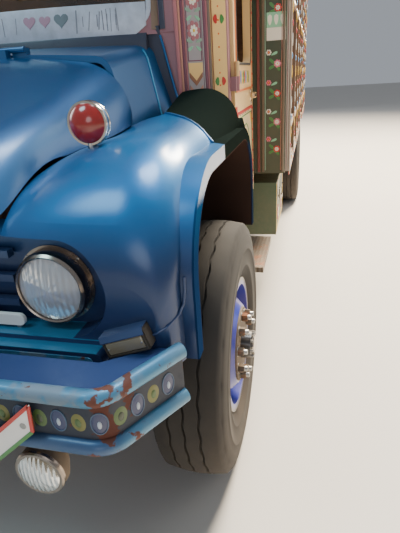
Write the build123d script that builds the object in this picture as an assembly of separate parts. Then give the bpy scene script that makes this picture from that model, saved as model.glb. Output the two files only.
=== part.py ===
from build123d import *
import math
import os

# Decorated bonneted truck. Sizes are in millimetres.
# X points to the truck's left, Y runs back from the front axle, Z is up from the ground.
# The finished pieces are moved along Y so that the origin is the middle of the whole truck.

# Wheels and axles
wheelbase = 4240
tyre_radius = 510
tyre_width = 258
rim_radius = 258
rim_width = 210
rim_wall = 12
flange_height = 18
flange_wall = 8
front_wheel_x = 980
king_pin_x = 840
king_pin_radius = 22
hub_radius = 88
stub_radius = 60
hub_cap_radius = 62
disc_wall = 14
spindle_radius = 30
spindle_gap = 0.5
drum_radius = 205
twin_inner_x = 790
twin_spacing = 290
seat_gap = 0.3

# Chassis frame
rail_x = 430
rail_height = 200
rail_flange = 75
rail_wall = 8
rail_top = 860
cross_height = 90
cross_depth = 110
rear_end_y = 6330

# Front axle, springs and steering
beam_width = 90
beam_height = 90
beam_z = 405
spring_width = 80
spring_x = 430
spring_span = 600
spring_thickness = 66
rear_spring_x = 500
rear_spring_span = 680
arm_length = 190
arm_z = 380
arm_x = king_pin_x
tie_z = arm_z - 30
tie_rod_radius = 16
pin_gap = 0.5

# Front bodywork
nose_y = -700
panel_back_y = -600
panel_bottom_z = 880
panel_top_z = 1240
panel_half_width = 930
recess_half_length = 885
recess_top_z = 1205
recess_bottom_z = 950
step_top_z = 935
step_front_y = -735
step_half_length = 870
headlamp_x = 712
headlamp_z = 1065
lens_radius = 87
bezel_radius = 100
bezel_depth = 48
wing_outer_x = 1075
wing_lip_x = 1090
wing_rear_y = 500
wing_inner_x = 600
apron_wall = 25
valley_z = 1335
arch_front_y = -600
arch_rear_y = 445
arch_top_z = 1300
arch_corner = 230
lip_width = 46
shut_gap = 5

# Bonnet and scuttle
bonnet_skin = 12
bonnet_rear_y = 45
bonnet_rear_crown_z = 1655
scuttle_half_width = 800
scuttle_top_half_width = 715
scuttle_top_z = 1690
firewall_y = 330
firewall_wall = 30

# Cab
cab_floor_z = 930
cab_floor_wall = 40
post_x0 = 930
post_x1 = 990
door_front_y = 560
door_rear_y = 1200
door_wall = 40
door_inner_x = 965
door_bottom_z = 870
door_top_z = 2250
cab_rear_y = 1250
cab_rear_wall = 35
cab_top_z = 2330
screen_bottom_z = 1690
screen_half_width = 740
screen_bow = 130
screen_rake = 110
cab_wall = 40
roof_wall = 45
door_hinge_x = 1018
hinge_radius = 10
hinge_gap = 0.5

# Load body
deck_z = 1220
deck_wall = 40
bearer_height = 100
bearer_width = 80
load_front_y = 1270
load_wall = 50
load_half_width = 1190
post_proud = 30
skirt_z = 950
side_top_z = 2750
rear_arch_radius = 600
tailgate_top_z = 2200
tailgate_wall = 45
rear_post_width = 80
load_rear_y = 6230

# Crown over the cab
crown_floor_z = cab_top_z + roof_wall
crown_mid_z = 2850
crown_top_z = 3420
crown_wall = 40
crown_front_low_y = 60
crown_front_mid_y = -120
crown_front_top_y = -260

# Bumper, plate and lamps
bumper_front_y = -900
bumper_back_y = -780
bumper_bottom_z = 806
bumper_top_z = 945
bumper_corner_x = 945
bumper_end_x = 1060
bumper_end_y = -700
bumper_end_wall = 55
bumper_bend = 70
pipe_radius = 19
plate_length = 300
plate_height = 74
plate_wall = 3
plate_x = 675
plate_z = 793
plate_slope = 42
plate_lean = 3

# Worked out from the driving sizes
rail_bottom = rail_top - rail_height
plate_back_y = bumper_front_y - pipe_radius - 3
front_end_y = plate_back_y - plate_wall
middle_y = (front_end_y + rear_end_y) / 2
axle_z = tyre_radius
side_outer_x = load_half_width + post_proud


def block(x0, x1, y0, y1, z0, z1):
    """A box between two corners."""
    size = Box(abs(x1 - x0), abs(y1 - y0), abs(z1 - z0))
    return Pos((x0 + x1) / 2, (y0 + y1) / 2, (z0 + z1) / 2) * size


def rod(start, end, radius):
    """A round bar from one point to another."""
    along = Vector(*end) - Vector(*start)
    plane = Plane(origin=start, z_dir=along)
    return plane * Pos(0, 0, along.length / 2) * Cylinder(radius, along.length)


def across(points, x0, x1, radius=0):
    """A side outline of (y, z) points, carried across from x0 to x1."""
    plane = Plane(origin=(x0, 0, 0), x_dir=(0, 1, 0), z_dir=(1, 0, 0))
    if radius:
        line = FilletPolyline(*points, radius=radius, close=True)
    else:
        line = Polyline(*points, close=True)
    return extrude(plane * make_face(line), x1 - x0)


def upward(points, z0, z1):
    """A plan outline of (x, y) points, carried up from z0 to z1."""
    return extrude(Pos(0, 0, z0) * make_face(Polyline(*points, close=True)), z1 - z0)


def turned_x(points):
    """A piece turned about the X axis from (x, radius) points."""
    return revolve(make_face(Polyline(*points, close=True)), Axis.X)


def turned_y(points):
    """A piece turned about the Y axis from (radius, y) points."""
    return revolve(make_face(Polyline(*points, close=True)), Axis.Y)


def group(*pieces):
    """Separate solids that share one node."""
    solids = []
    for piece in pieces:
        solids += list(piece.solids())
    return Compound(solids)


def both(piece):
    """The piece and its mirror image on the truck's other side."""
    return group(piece, mirror(piece, Plane.YZ))


def save(name, piece):
    """Write one piece in the truck's own frame."""
    solids = [Pos(0, -middle_y, 0) * solid for solid in piece.solids()]
    export_step(Compound(solids) if len(solids) > 1 else solids[0], f"parts/{name}.step")


# Wheels


def tyre():
    """One tyre about the X axis, its middle at the origin."""
    half = tyre_width / 2
    bead = rim_width / 2 - flange_wall - seat_gap
    inner = rim_radius + seat_gap
    bead_top = rim_radius + flange_height + 2
    crown = TangentArc((0, tyre_radius), (half - 24, tyre_radius - 14), tangent=(1, 0))
    side = ThreePointArc((half - 24, tyre_radius - 14), (half, 400), (bead, bead_top))
    foot = Line((bead, bead_top), (bead, inner))
    outline = crown + side + foot + Line((bead, inner), (-bead, inner))
    outline += mirror(foot, Plane.YZ) + mirror(side, Plane.YZ) + mirror(crown, Plane.YZ)
    return revolve(make_face(outline), Axis.X)


def rim_ring():
    """The rim that carries the tyre, about the X axis."""
    half = rim_width / 2
    outer = rim_radius + flange_height
    points = [
        (-half, rim_radius - rim_wall),
        (-half, outer),
        (-half + flange_wall, outer),
        (-half + flange_wall, rim_radius),
        (half - flange_wall, rim_radius),
        (half - flange_wall, outer),
        (half, outer),
        (half, rim_radius - rim_wall),
    ]
    return turned_x(points)


def disc(face_x):
    """The dished disc between the rim and the hub, its hub face at face_x."""
    step = math.copysign(disc_wall, face_x)
    well = rim_radius - rim_wall + 2
    points = [
        (face_x * 0.15, well),
        (face_x * 0.15 + step, well),
        (face_x * 0.6, 205),
        (face_x, 160),
        (face_x, hub_radius - 8),
        (face_x - step, hub_radius - 8),
        (face_x - step, 152),
        (face_x * 0.6 - step, 192),
    ]
    return turned_x(points)


def front_wheel():
    """Rim, dished disc, hub and brake drum of a left front wheel, bored for its spindle."""
    face = 112
    bore = spindle_radius + spindle_gap
    hub = turned_x([(-70, bore), (-70, hub_radius), (face, hub_radius), (face, bore)])
    cap = turned_x([(face - 10, 0), (face - 10, hub_cap_radius), (face + 46, hub_cap_radius - 6),
                    (face + 52, 0)])
    drum = turned_x([(-78, bore), (-78, drum_radius), (5, drum_radius), (5, bore)])
    return rim_ring() + disc(face) + hub + cap + drum


def twin_wheels():
    """Two rims back to back on one hub and drum, about the X axis, left side."""
    inner = rim_ring() + disc(120)
    outer = Pos(twin_spacing, 0, 0) * (rim_ring() + disc(-120))
    spacer = turned_x([(104, 84), (104, 160), (twin_spacing - 104, 160), (twin_spacing - 104, 84)])
    bore = stub_radius + spindle_gap
    hub = turned_x([(-60, bore), (-60, drum_radius), (20, drum_radius), (20, hub_radius + 20),
                    (104, hub_radius + 20), (twin_spacing + 60, 80), (twin_spacing + 74, bore),
                    (twin_spacing + 74, 0), (twin_spacing + 40, 0), (twin_spacing + 40, bore)])
    return inner + outer + spacer + hub


left_tyre = Pos(front_wheel_x, 0, axle_z) * tyre()
left_wheel = Pos(front_wheel_x, 0, axle_z) * front_wheel()
save("front_tyre_left", left_tyre)
save("front_tyre_right", mirror(left_tyre, Plane.YZ))
save("front_wheel_left", left_wheel)
save("front_wheel_right", mirror(left_wheel, Plane.YZ))

rear_place = Pos(twin_inner_x, wheelbase, axle_z)
left_twins = rear_place * group(tyre(), Pos(twin_spacing, 0, 0) * tyre())
left_twin_wheels = rear_place * twin_wheels()
save("rear_tyres_left", left_twins)
save("rear_tyres_right", mirror(left_twins, Plane.YZ))
save("rear_wheels_left", left_twin_wheels)
save("rear_wheels_right", mirror(left_twin_wheels, Plane.YZ))

# Chassis


def rail():
    """The left chassis rail, a channel open to the inside."""
    solid = block(rail_x - rail_flange, rail_x, bumper_back_y, rear_end_y - 80, rail_bottom, rail_top)
    inside = block(rail_x - rail_flange - 1, rail_x - rail_wall, bumper_back_y - 1, rear_end_y,
                   rail_bottom + rail_wall, rail_top - rail_wall)
    return solid - inside


cross_places = [-560, 900, 1900, 2900, 3560, 4900, rear_end_y - 135]
cross_half = rail_x - rail_wall - seat_gap
cross_top = rail_top - rail_wall - seat_gap
cross_bottom = rail_top - cross_height
tow_bore = 20
jaw_half = 70
jaw_slot = 60
jaw_wall = 20
jaw_z = 695
jaw_y = rear_end_y - 105
jaw_front_y = jaw_y - 60
jaw_rear_y = jaw_y + 60
jaw_bottom = jaw_z - jaw_slot / 2 - jaw_wall
pin_hole = Pos(0, jaw_y, jaw_z) * Cylinder(tow_bore, 500)
frame_parts = [rail(), mirror(rail(), Plane.YZ)]
for place in cross_places:
    frame_parts.append(block(-cross_half, cross_half, place - cross_depth / 2, place + cross_depth / 2,
                             cross_bottom, cross_top) - pin_hole)
frame_parts.append(block(-jaw_half, jaw_half, jaw_front_y, jaw_rear_y, jaw_z + jaw_slot / 2,
                         cross_bottom - seat_gap) - pin_hole)
frame_parts.append(block(-jaw_half, jaw_half, jaw_front_y, jaw_front_y + jaw_wall, jaw_bottom,
                         jaw_z + jaw_slot / 2 - seat_gap))
frame_parts.append(block(-jaw_half, jaw_half, jaw_front_y + jaw_wall + seat_gap, jaw_rear_y, jaw_bottom,
                         jaw_bottom + jaw_wall) - pin_hole)
save("chassis_frame", group(*frame_parts))

rear_bar_half = 1100
rear_bar_bottom = 540
rear_bar_height = 100
rear_bar_wall = 60
drop_wall = 15
rear_bar = block(-rear_bar_half, rear_bar_half, rear_end_y - rear_bar_wall, rear_end_y, rear_bar_bottom,
                 rear_bar_bottom + rear_bar_height)
for side in (-1, 1):
    rear_bar += block(side * rail_x, side * (rail_x + drop_wall), rear_end_y - 250, rear_end_y - 30,
                      rear_bar_bottom, rail_top - 20)
save("rear_bar", rear_bar)

# Engine, radiator and drive

engine_half = 250
engine_front_y = -360
engine_rear_y = 290
engine_bottom_z = 560
engine_top_z = 1180
gearbox_half = 150
gearbox_end_y = 760
gearbox_bottom_z = 600
gearbox_top_z = 830
engine = block(-engine_half, engine_half, engine_front_y, engine_rear_y, engine_bottom_z, engine_top_z)
engine += block(-gearbox_half, gearbox_half, engine_rear_y, gearbox_end_y, gearbox_bottom_z, gearbox_top_z)
rail_inner_x = rail_x - rail_wall
for side in (-1, 1):
    engine += block(side * engine_half, side * rail_inner_x, -120, -40, 700, 760)
    engine += block(side * gearbox_half, side * rail_inner_x, 640, 700, 680, 720)
save("engine_block", engine)
radiator_half = 330
radiator_top_z = 1215
radiator = block(-radiator_half, radiator_half, -560, -470, cross_top, radiator_top_z)
save("radiator", radiator)
pinion_y = wheelbase - 250
pinion_z = 545
drive_z = 690
shaft_radius = 45
flange_radius = 60
flange_length = 32
shaft = rod((0, gearbox_end_y + 25, drive_z), (0, pinion_y - 25, pinion_z), shaft_radius)
shaft += rod((0, gearbox_end_y, drive_z), (0, gearbox_end_y + flange_length, drive_z), flange_radius)
shaft += rod((0, pinion_y - flange_length, pinion_z), (0, pinion_y, pinion_z), flange_radius)
save("propeller_shaft", shaft)

# Springs


def leaf_spring(x, y, seat_z, span):
    """A leaf spring pack with its hangers under the rail, its middle over the axle at y."""
    top = seat_z + spring_thickness
    eye = rail_bottom - 30
    points = [
        (y - span, eye - 12), (y - span, eye + 12), (y - 160, top), (y + 160, top),
        (y + span, eye + 12), (y + span, eye - 12), (y + 110, seat_z), (y - 110, seat_z),
    ]
    pack = across(points, x - spring_width / 2, x + spring_width / 2)
    for end in (-span, span):
        pack += block(x - 45, x + 45, y + end - 25, y + end + 25, eye - 20, rail_bottom)
    return pack


beam_top = beam_z + beam_height / 2
front_spring = leaf_spring(spring_x - 20, 0, beam_top, spring_span)
rear_seat = axle_z + 75
rear_spring = leaf_spring(rear_spring_x - 65, wheelbase, rear_seat, rear_spring_span)
save("springs", group(both(front_spring), both(rear_spring)))

# Axles

eye_z = axle_z
eye_half = 45
boss_radius = 38
beam_bottom = beam_z - beam_height / 2
beam_half = 640
front_beam = block(-beam_half, beam_half, -beam_width / 2, beam_width / 2, beam_bottom, beam_top)
rise = [(beam_half - 40, beam_bottom), (beam_half + 40, beam_bottom), (king_pin_x - 55, eye_z - eye_half),
        (king_pin_x, eye_z - eye_half), (king_pin_x, eye_z + eye_half), (king_pin_x - 80, eye_z + eye_half),
        (beam_half, beam_top)]
rise_plane = Plane(origin=(0, beam_width / 2, 0), x_dir=(1, 0, 0), z_dir=(0, -1, 0))
ramp = extrude(rise_plane * make_face(Polyline(*rise, close=True)), beam_width)
ramp += Pos(king_pin_x, 0, eye_z) * Cylinder(boss_radius, 2 * eye_half)
ramp -= Pos(king_pin_x, 0, eye_z) * Cylinder(king_pin_radius + pin_gap, 200)
front_beam += ramp
front_beam += mirror(ramp, Plane.YZ)
save("front_axle", front_beam)

rear_tube_end = twin_inner_x - 70
rear_tube_radius = 70
case_radius = 205
rear_case = rod((-rear_tube_end, wheelbase, axle_z), (rear_tube_end, wheelbase, axle_z), rear_tube_radius)
rear_case += Pos(0, wheelbase, axle_z) * Sphere(case_radius)
rear_case += rod((0, wheelbase - 120, pinion_z), (0, pinion_y, pinion_z), 70)
for side in (-1, 1):
    stub = side * (twin_inner_x + twin_spacing + 30)
    rear_case += rod((side * rear_tube_end, wheelbase, axle_z), (stub, wheelbase, axle_z), stub_radius)
    seat_x = side * (rear_spring_x - 65)
    rear_case += block(seat_x - 40, seat_x + 40, wheelbase - 60, wheelbase + 60, axle_z, rear_seat)
save("rear_axle", rear_case)


def knuckle():
    """The left steering knuckle: fork, king pin, spindle and track arm."""
    fork_x = king_pin_x
    pin = Pos(fork_x, 0, eye_z) * Cylinder(king_pin_radius, 190)
    body = pin
    for level in (-1, 1):
        z0 = eye_z + level * (eye_half + 6)
        body += block(fork_x - 26, fork_x + 56, -40, 40, z0, z0 + level * 34)
    body += block(fork_x + 44, fork_x + 58, -60, 60, eye_z - 85, eye_z + 85)
    body += rod((fork_x + 50, 0, eye_z), (front_wheel_x + 100, 0, eye_z), spindle_radius)
    body += block(fork_x - 20, fork_x + 40, -20, 40, arm_z - 10, eye_z - 80)
    body += upward([(fork_x - 20, 0), (fork_x + 40, 0), (arm_x + 22, arm_length + 24),
                    (arm_x - 22, arm_length + 24)], arm_z - 10, arm_z + 10)
    body += rod((arm_x, arm_length, tie_z - 18), (arm_x, arm_length, arm_z), 11)
    return body


left_knuckle = knuckle()
save("knuckle_left", left_knuckle)
save("knuckle_right", mirror(left_knuckle, Plane.YZ))
tie = rod((-arm_x, arm_length, tie_z), (arm_x, arm_length, tie_z), tie_rod_radius)
for side in (-1, 1):
    tie += Pos(side * arm_x, arm_length, tie_z) * Cylinder(26, 38)
    tie -= Pos(side * arm_x, arm_length, tie_z) * Cylinder(11 + pin_gap, 60)
save("tie_rod", tie)

# Tanks, exhaust and steps

bracket_x = rail_x + seat_gap
tank_front_y = 1620
tank_rear_y = 2420
tank_bottom_z = 470
tank_top_z = 830
tank_corner = 60
tank_outer_x = load_half_width - 110
tank_inner_x = rail_x + 90
tank_outline = [(tank_front_y, tank_bottom_z), (tank_rear_y, tank_bottom_z), (tank_rear_y, tank_top_z),
                (tank_front_y, tank_top_z)]
tank = across(tank_outline, -tank_outer_x, -tank_inner_x, tank_corner)
for place in (tank_front_y + 140, tank_rear_y - 140):
    tank += block(-tank_inner_x - 180, -bracket_x, place - 30, place + 30, tank_top_z - 70, tank_top_z + 10)
save("fuel_tank", tank)

chest_front_y = 1440
chest_rear_y = 2080
chest_inner_x = 760
chest_outer_x = load_half_width - 60
chest_bottom_z = 480
chest_top_z = 850
chest = block(chest_inner_x, chest_outer_x, chest_front_y, chest_rear_y, chest_bottom_z, chest_top_z)
for place in (chest_front_y + 120, chest_rear_y - 120):
    chest += block(bracket_x, chest_inner_x + 10, place - 30, place + 30,
                   chest_top_z - 90, chest_top_z - 20)
save("tool_chest", chest)

silencer_radius = 85
silencer_x = 640
silencer_z = 590
pipe_bore = 32
bend_lap = 12
silencer_length = 800
silencer_rear_y = wheelbase - tyre_radius - 630
silencer_front_y = silencer_rear_y - silencer_length
tail_pipe_x = 900
exhaust = rod((silencer_x, silencer_front_y, silencer_z), (silencer_x, silencer_rear_y, silencer_z),
              silencer_radius)
pipe_run = [(engine_half + seat_gap, 150, 600), (300, 150, 600), (300, 1250, 560),
            (silencer_x, silencer_front_y - 100, silencer_z),
            (silencer_x, silencer_rear_y + 300, silencer_z), (tail_pipe_x, silencer_rear_y + 340, 520)]
for start, end in zip(pipe_run[:-1], pipe_run[1:]):
    along = (Vector(*end) - Vector(*start)).normalized()
    exhaust += rod(start, tuple(Vector(*end) + along * bend_lap), pipe_bore)
for place in (silencer_front_y + 150, silencer_rear_y - 150):
    exhaust += block(bracket_x, silencer_x, place - 15, place + 15, 668, 700)
    exhaust += block(silencer_x - 40, silencer_x, place - 15, place + 15, 640, 690)
save("exhaust", exhaust)

tread_front_y = 650
tread_rear_y = 1150
tread_z = 540
tread_wall = 30
tread_arm_z = 700
tread_inner_x = 850
tread_outer_x = load_half_width - 70
hanger_x = tread_inner_x + 50
step = block(tread_inner_x, tread_outer_x, tread_front_y, tread_rear_y, tread_z, tread_z + tread_wall)
for place in (tread_front_y + 70, tread_rear_y - 70):
    step += block(bracket_x, hanger_x, place - 20, place + 20, tread_arm_z, tread_arm_z + 40)
    step += block(hanger_x - 40, hanger_x, place - 20, place + 20, tread_z + 20, tread_arm_z + 40)
save("steps", both(step))

# Bumper, plate and lamps

bumper_run = FilletPolyline((-bumper_end_x, bumper_end_y), (-bumper_corner_x, bumper_front_y),
                            (bumper_corner_x, bumper_front_y), (bumper_end_x, bumper_end_y),
                            radius=bumper_bend)
bumper_back_x = bumper_corner_x - 60
bumper_inner_x = bumper_end_x - bumper_end_wall
bumper_back = Polyline((bumper_end_x, bumper_end_y), (bumper_inner_x, bumper_end_y),
                       (bumper_back_x, bumper_back_y), (-bumper_back_x, bumper_back_y),
                       (-bumper_inner_x, bumper_end_y), (-bumper_end_x, bumper_end_y))
bumper_plan = Pos(0, 0, bumper_bottom_z) * make_face(bumper_run + bumper_back)
bumper = extrude(bumper_plan, bumper_top_z - bumper_bottom_z)
for level in (bumper_bottom_z + 6, bumper_top_z - 2):
    path = Pos(0, 0, level) * bumper_run
    bumper += sweep(Plane(origin=path @ 0, z_dir=path % 0) * Circle(pipe_radius), path=path)
save("front_bumper", bumper)

plate_run = plate_length / 2 * math.cos(math.radians(plate_slope))
plate_rise = plate_length / 2 * math.sin(math.radians(plate_slope))
plate_half = plate_height / 2
plate_corners = [
    (-plate_run - plate_lean, -plate_rise - plate_half), (plate_run - plate_lean, plate_rise - plate_half),
    (plate_run + plate_lean, plate_rise + plate_half), (-plate_run + plate_lean, -plate_rise + plate_half),
]
plate_plane = Plane(origin=(plate_x, plate_back_y, plate_z), x_dir=(1, 0, 0), z_dir=(0, -1, 0))
plate = extrude(plate_plane * make_face(Polyline(*plate_corners, close=True)), plate_wall)
plate += block(plate_x + 60, plate_x + 100, plate_back_y, bumper_front_y, plate_z + 57, plate_z + 92)
save("number_plate", plate)

fog_x = 720
fog_y = -850
fog_z = 660
fog_radius = 68
fog = Pos(fog_x, fog_y, fog_z) * turned_y([(0, -38), (fog_radius - 8, -28), (fog_radius, -18),
                                           (fog_radius, 0), (50, 40), (0, 52)])
fog += rod((fog_x, fog_y + 12, fog_z), (fog_x, fog_y + 12, bumper_bottom_z), 12)
save("fog_lamps", both(fog))


def nose_front(z0, z1, half, depth_front, depth_back):
    """A long rounded bar shape across the nose, for the recess and its mouldings."""
    radius = (z1 - z0) / 2
    plane = Plane(origin=(0, depth_back, (z0 + z1) / 2), x_dir=(1, 0, 0), z_dir=(0, -1, 0))
    return extrude(plane * SlotOverall(2 * half, 2 * radius), depth_back - depth_front)


# Columns: y, valley height, crown height, outer x, shoulder height
wing_stations = [
    (nose_y, 1085, 1105, 1000, 990),
    (-668, 1185, 1225, 1046, 1090),
    (-560, 1275, 1340, 1070, 1190),
    (-330, 1325, 1403, wing_outer_x, 1250),
    (0, valley_z, 1418, wing_outer_x, 1262),
    (wing_rear_y, valley_z, 1385, wing_outer_x, 1240),
]
wing_crown_x = 915


def wing_form():
    """The outer form of the left wing and half of the nose, one section at each station."""
    sections = []
    for y, valley, crown, outer, shoulder in wing_stations:
        inner = TangentArc((wing_crown_x, crown), (wing_inner_x, valley), tangent=(-1, 0))
        over = TangentArc((wing_crown_x, crown), (outer, shoulder), tangent=(1, 0))
        down = Polyline((outer, shoulder), (outer, panel_bottom_z), (wing_inner_x, panel_bottom_z),
                        (wing_inner_x, valley))
        plane = Plane(origin=(0, y, 0), x_dir=(1, 0, 0), z_dir=(0, -1, 0))
        sections.append(plane * make_face(inner + over + down))
    return loft(sections)


# Columns: y, half width, base height, shoulder x, shoulder height, crown height
bonnet_stations = [
    (-672, 570, 1242, 430, 1272, 1288),
    (-640, 585, 1244, 445, 1322, 1346),
    (-540, 603, 1292, 470, 1402, 1430),
    (-300, 640, 1342, 510, 1484, 1522),
    (bonnet_rear_y, 690, 1345, 550, 1610, bonnet_rear_crown_z),
]


def bonnet_section(y, half, base, shoulder_x, shoulder_z, crown):
    """One section of the bonnet as a closed face across the truck."""
    top = TangentArc((0, crown), (shoulder_x, shoulder_z), tangent=(1, 0))
    side = TangentArc((shoulder_x, shoulder_z), (half, base), tangent=top % 1)
    outline = top + side + Line((half, base), (-half, base))
    outline += mirror(side, Plane.YZ) + mirror(top, Plane.YZ)
    plane = Plane(origin=(0, y, 0), x_dir=(1, 0, 0), z_dir=(0, -1, 0))
    return plane * make_face(outline)


form = wing_form()
nose_block = block(0, panel_half_width, nose_y - 60, panel_back_y, panel_bottom_z - 10, panel_top_z)
arch_points = [
    (arch_front_y, panel_bottom_z - 200), (arch_front_y, arch_top_z), (arch_rear_y, arch_top_z),
    (arch_rear_y, panel_bottom_z - 200),
]
arch_plane = Plane(origin=(wing_inner_x + apron_wall, 0, 0), x_dir=(0, 1, 0), z_dir=(1, 0, 0))
arch_face = make_face(FilletPolyline(*arch_points, radius=arch_corner, close=True))
arch = extrude(arch_plane * arch_face, 700)
lip_plane = Plane(origin=(wing_outer_x - 60, 0, 0), x_dir=(0, 1, 0), z_dir=(1, 0, 0))
lip = extrude(lip_plane * offset(arch_face, lip_width), wing_lip_x - wing_outer_x + 60)
lip -= block(0, 1300, -900, 900, 0, panel_bottom_z)
scuttle_seat = block(0, scuttle_half_width + 25, bonnet_rear_y + shut_gap, wing_rear_y + 10,
                     valley_z, 1500)
panel_seat = block(0, 1300, firewall_y, wing_rear_y + 10, 1360, 1500)
recess_floor_y = panel_back_y - 20
lamp_room = Cylinder(bezel_radius, 120)
lamp_room = Pos(headlamp_x, recess_floor_y + 60, headlamp_z) * Rot(90, 0, 0) * lamp_room
wing = form + lip - arch - nose_block - scuttle_seat - panel_seat - lamp_room
save("wing_left", wing)
save("wing_right", mirror(wing, Plane.YZ))

nose = form & nose_block
front_fill = across([(nose_y, panel_bottom_z), (nose_y, 1085), (-668, 1185), (-640, 1210),
                     (panel_back_y, panel_top_z - 8), (panel_back_y, panel_bottom_z)], 0, wing_inner_x)
nose_half = nose + front_fill
nose_whole = nose_half + mirror(nose_half, Plane.YZ)
nose_whole -= nose_front(recess_bottom_z, recess_top_z, recess_half_length, nose_y - 60, recess_floor_y)
nose_whole -= nose_front(recess_bottom_z + 35, recess_top_z - 25, 470, nose_y - 60, panel_back_y + 20)
nose_whole += nose_front(panel_bottom_z + 5, step_top_z, step_half_length, step_front_y, nose_y)
nose_whole -= lamp_room
nose_whole -= mirror(lamp_room, Plane.YZ)
for side in (-1, 1):
    nose_whole += block(side * (rail_x - rail_flange), side * rail_x, panel_back_y - 40, panel_back_y,
                        rail_top, recess_bottom_z)
save("nose_panel", nose_whole)

bar_places = [1018, 1088, 1155]
bar_height = 20
bar_half_length = 608
upright_places = (-500, -250, 0, 250, 500)
upright_top_z = 1180
grille_parts = [block(x - 8, x + 8, recess_floor_y - 12, recess_floor_y, recess_bottom_z, upright_top_z)
                for x in upright_places]
bar_back_y = recess_floor_y - 10
for place in bar_places:
    grille_parts.append(block(-bar_half_length, bar_half_length, bar_back_y - 24, bar_back_y,
                              place - bar_height / 2, place + bar_height / 2))
save("grille_bars", Part() + grille_parts)

bezel_flange = bezel_radius + 7
bezel = turned_y([
    (lens_radius, -bezel_depth + 12), (lens_radius, -bezel_depth + 2), (lens_radius + 4, -bezel_depth),
    (bezel_radius - 3, -bezel_depth + 7), (bezel_radius - 0.5, -bezel_depth + 20), (bezel_radius - 0.5, -4),
    (bezel_flange, -4), (bezel_flange, 0), (bezel_radius - 0.5, 0), (bezel_radius - 0.5, 40), (60, 78), (0, 86),
    (0, 74), (56, 66), (lens_radius + 5, 36), (lens_radius + 5, -bezel_depth + 12),
])
lens = turned_y([(0, -bezel_depth - 6), (45, -bezel_depth - 1), (lens_radius - 0.5, -bezel_depth + 8),
                 (lens_radius - 0.5, -bezel_depth + 14), (0, -bezel_depth + 14)])
lamp_place = Pos(headlamp_x, recess_floor_y, headlamp_z)
save("headlamps", both(lamp_place * bezel))
save("headlamp_lenses", both(lamp_place * lens))

indicator_x = 935
indicator_z = 971
indicator_half_length = 60
indicator_half_height = 29
indicator_depth = 34
indicator_slope = 19
indicator = block(-indicator_half_length, indicator_half_length, -indicator_depth, -seat_gap,
                  -indicator_half_height, indicator_half_height)
indicator = fillet(indicator.edges().filter_by(Axis.Y), 6)
indicator = Pos(indicator_x, nose_y, indicator_z) * Rot(0, -indicator_slope, 0) * indicator
save("indicator_lamps", both(indicator))

wing_lamp_x = 758
wing_lamp_y = -400
wing_lamp_z = 1442
wing_lamp_radius = 59
wing_lamp_foot_z = 1360
lamp = Pos(wing_lamp_x, wing_lamp_y, wing_lamp_z) * turned_y([
    (0, -40), (40, -30), (wing_lamp_radius - 6, -12), (wing_lamp_radius, -8), (wing_lamp_radius, 8),
    (wing_lamp_radius - 6, 12), (40, 30), (0, 40),
])
lamp += rod((wing_lamp_x, wing_lamp_y, wing_lamp_foot_z), (wing_lamp_x, wing_lamp_y, wing_lamp_z), 9)
save("wing_lamps", both(lamp - form))

# Bonnet and scuttle


outer_sections = []
inner_sections = []
for y, half, base, shoulder_x, shoulder_z, crown in bonnet_stations:
    outer_sections.append(bonnet_section(y, half, base, shoulder_x, shoulder_z, crown))
    skin = bonnet_skin
    inner_y = y + skin if y < 0 else y + 1
    inner_sections.append(bonnet_section(inner_y, half - skin, base - 30, shoulder_x - 6, shoulder_z - skin,
                                         crown - skin))
bonnet = loft(outer_sections) - loft(inner_sections)
bonnet -= both(Pos(0, 0, shut_gap) * form)
hinge_y = bonnet_rear_y + shut_gap / 2
bonnet_hinge_z = bonnet_rear_crown_z + hinge_radius + 3
hinge_places = (-260, 260)
for x in hinge_places:
    bonnet += rod((x - 60, hinge_y, bonnet_hinge_z), (x, hinge_y, bonnet_hinge_z), hinge_radius)
    bonnet += block(x - 60, x, bonnet_rear_y - 30, bonnet_rear_y - 1, bonnet_rear_crown_z - 25,
                    bonnet_hinge_z)
save("bonnet", bonnet)

scuttle_front_y = bonnet_rear_y + shut_gap


def scuttle_section(y, top_z, top_half, half, skin, low):
    """One section of the scuttle as a closed face across the truck, shrunk by the skin."""
    top = TangentArc((0, top_z - skin), (top_half - 60, top_z - 28 - skin), tangent=(1, 0))
    corner = TangentArc(top @ 1, (top_half - skin, top_z - 84), tangent=top % 1)
    side = Line((top_half - skin, top_z - 84), (half - skin, low))
    outline = top + corner + side + Line((half - skin, low), (-half + skin, low))
    outline += mirror(side, Plane.YZ) + mirror(corner, Plane.YZ) + mirror(top, Plane.YZ)
    plane = Plane(origin=(0, y, 0), x_dir=(1, 0, 0), z_dir=(0, -1, 0))
    return plane * make_face(outline)


scuttle_wall = 25
scuttle_back_y = firewall_y + firewall_wall
front_size = (bonnet_rear_crown_z + 2, 650, 712)
back_size = (scuttle_top_z + 14, scuttle_top_half_width, scuttle_half_width)
scuttle = loft([scuttle_section(scuttle_front_y, *front_size, 0, valley_z),
                scuttle_section(scuttle_back_y, *back_size, 0, valley_z)], ruled=True)
scuttle -= loft([scuttle_section(scuttle_front_y - 10, *front_size, scuttle_wall, valley_z - 30),
                 scuttle_section(firewall_y, *back_size, scuttle_wall, valley_z - 30)], ruled=True)
scuttle += block(-wing_inner_x, wing_inner_x, firewall_y, scuttle_back_y, cab_floor_z, valley_z)
for x in hinge_places:
    near = x + hinge_gap
    far = x + 60
    scuttle += rod((near, hinge_y, bonnet_hinge_z), (far, hinge_y, bonnet_hinge_z), hinge_radius)
    scuttle += block(near, far, scuttle_front_y + 5, scuttle_front_y + 30,
                     bonnet_rear_crown_z - 25, bonnet_hinge_z + 6)
save("scuttle", scuttle)

# Cab

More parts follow.
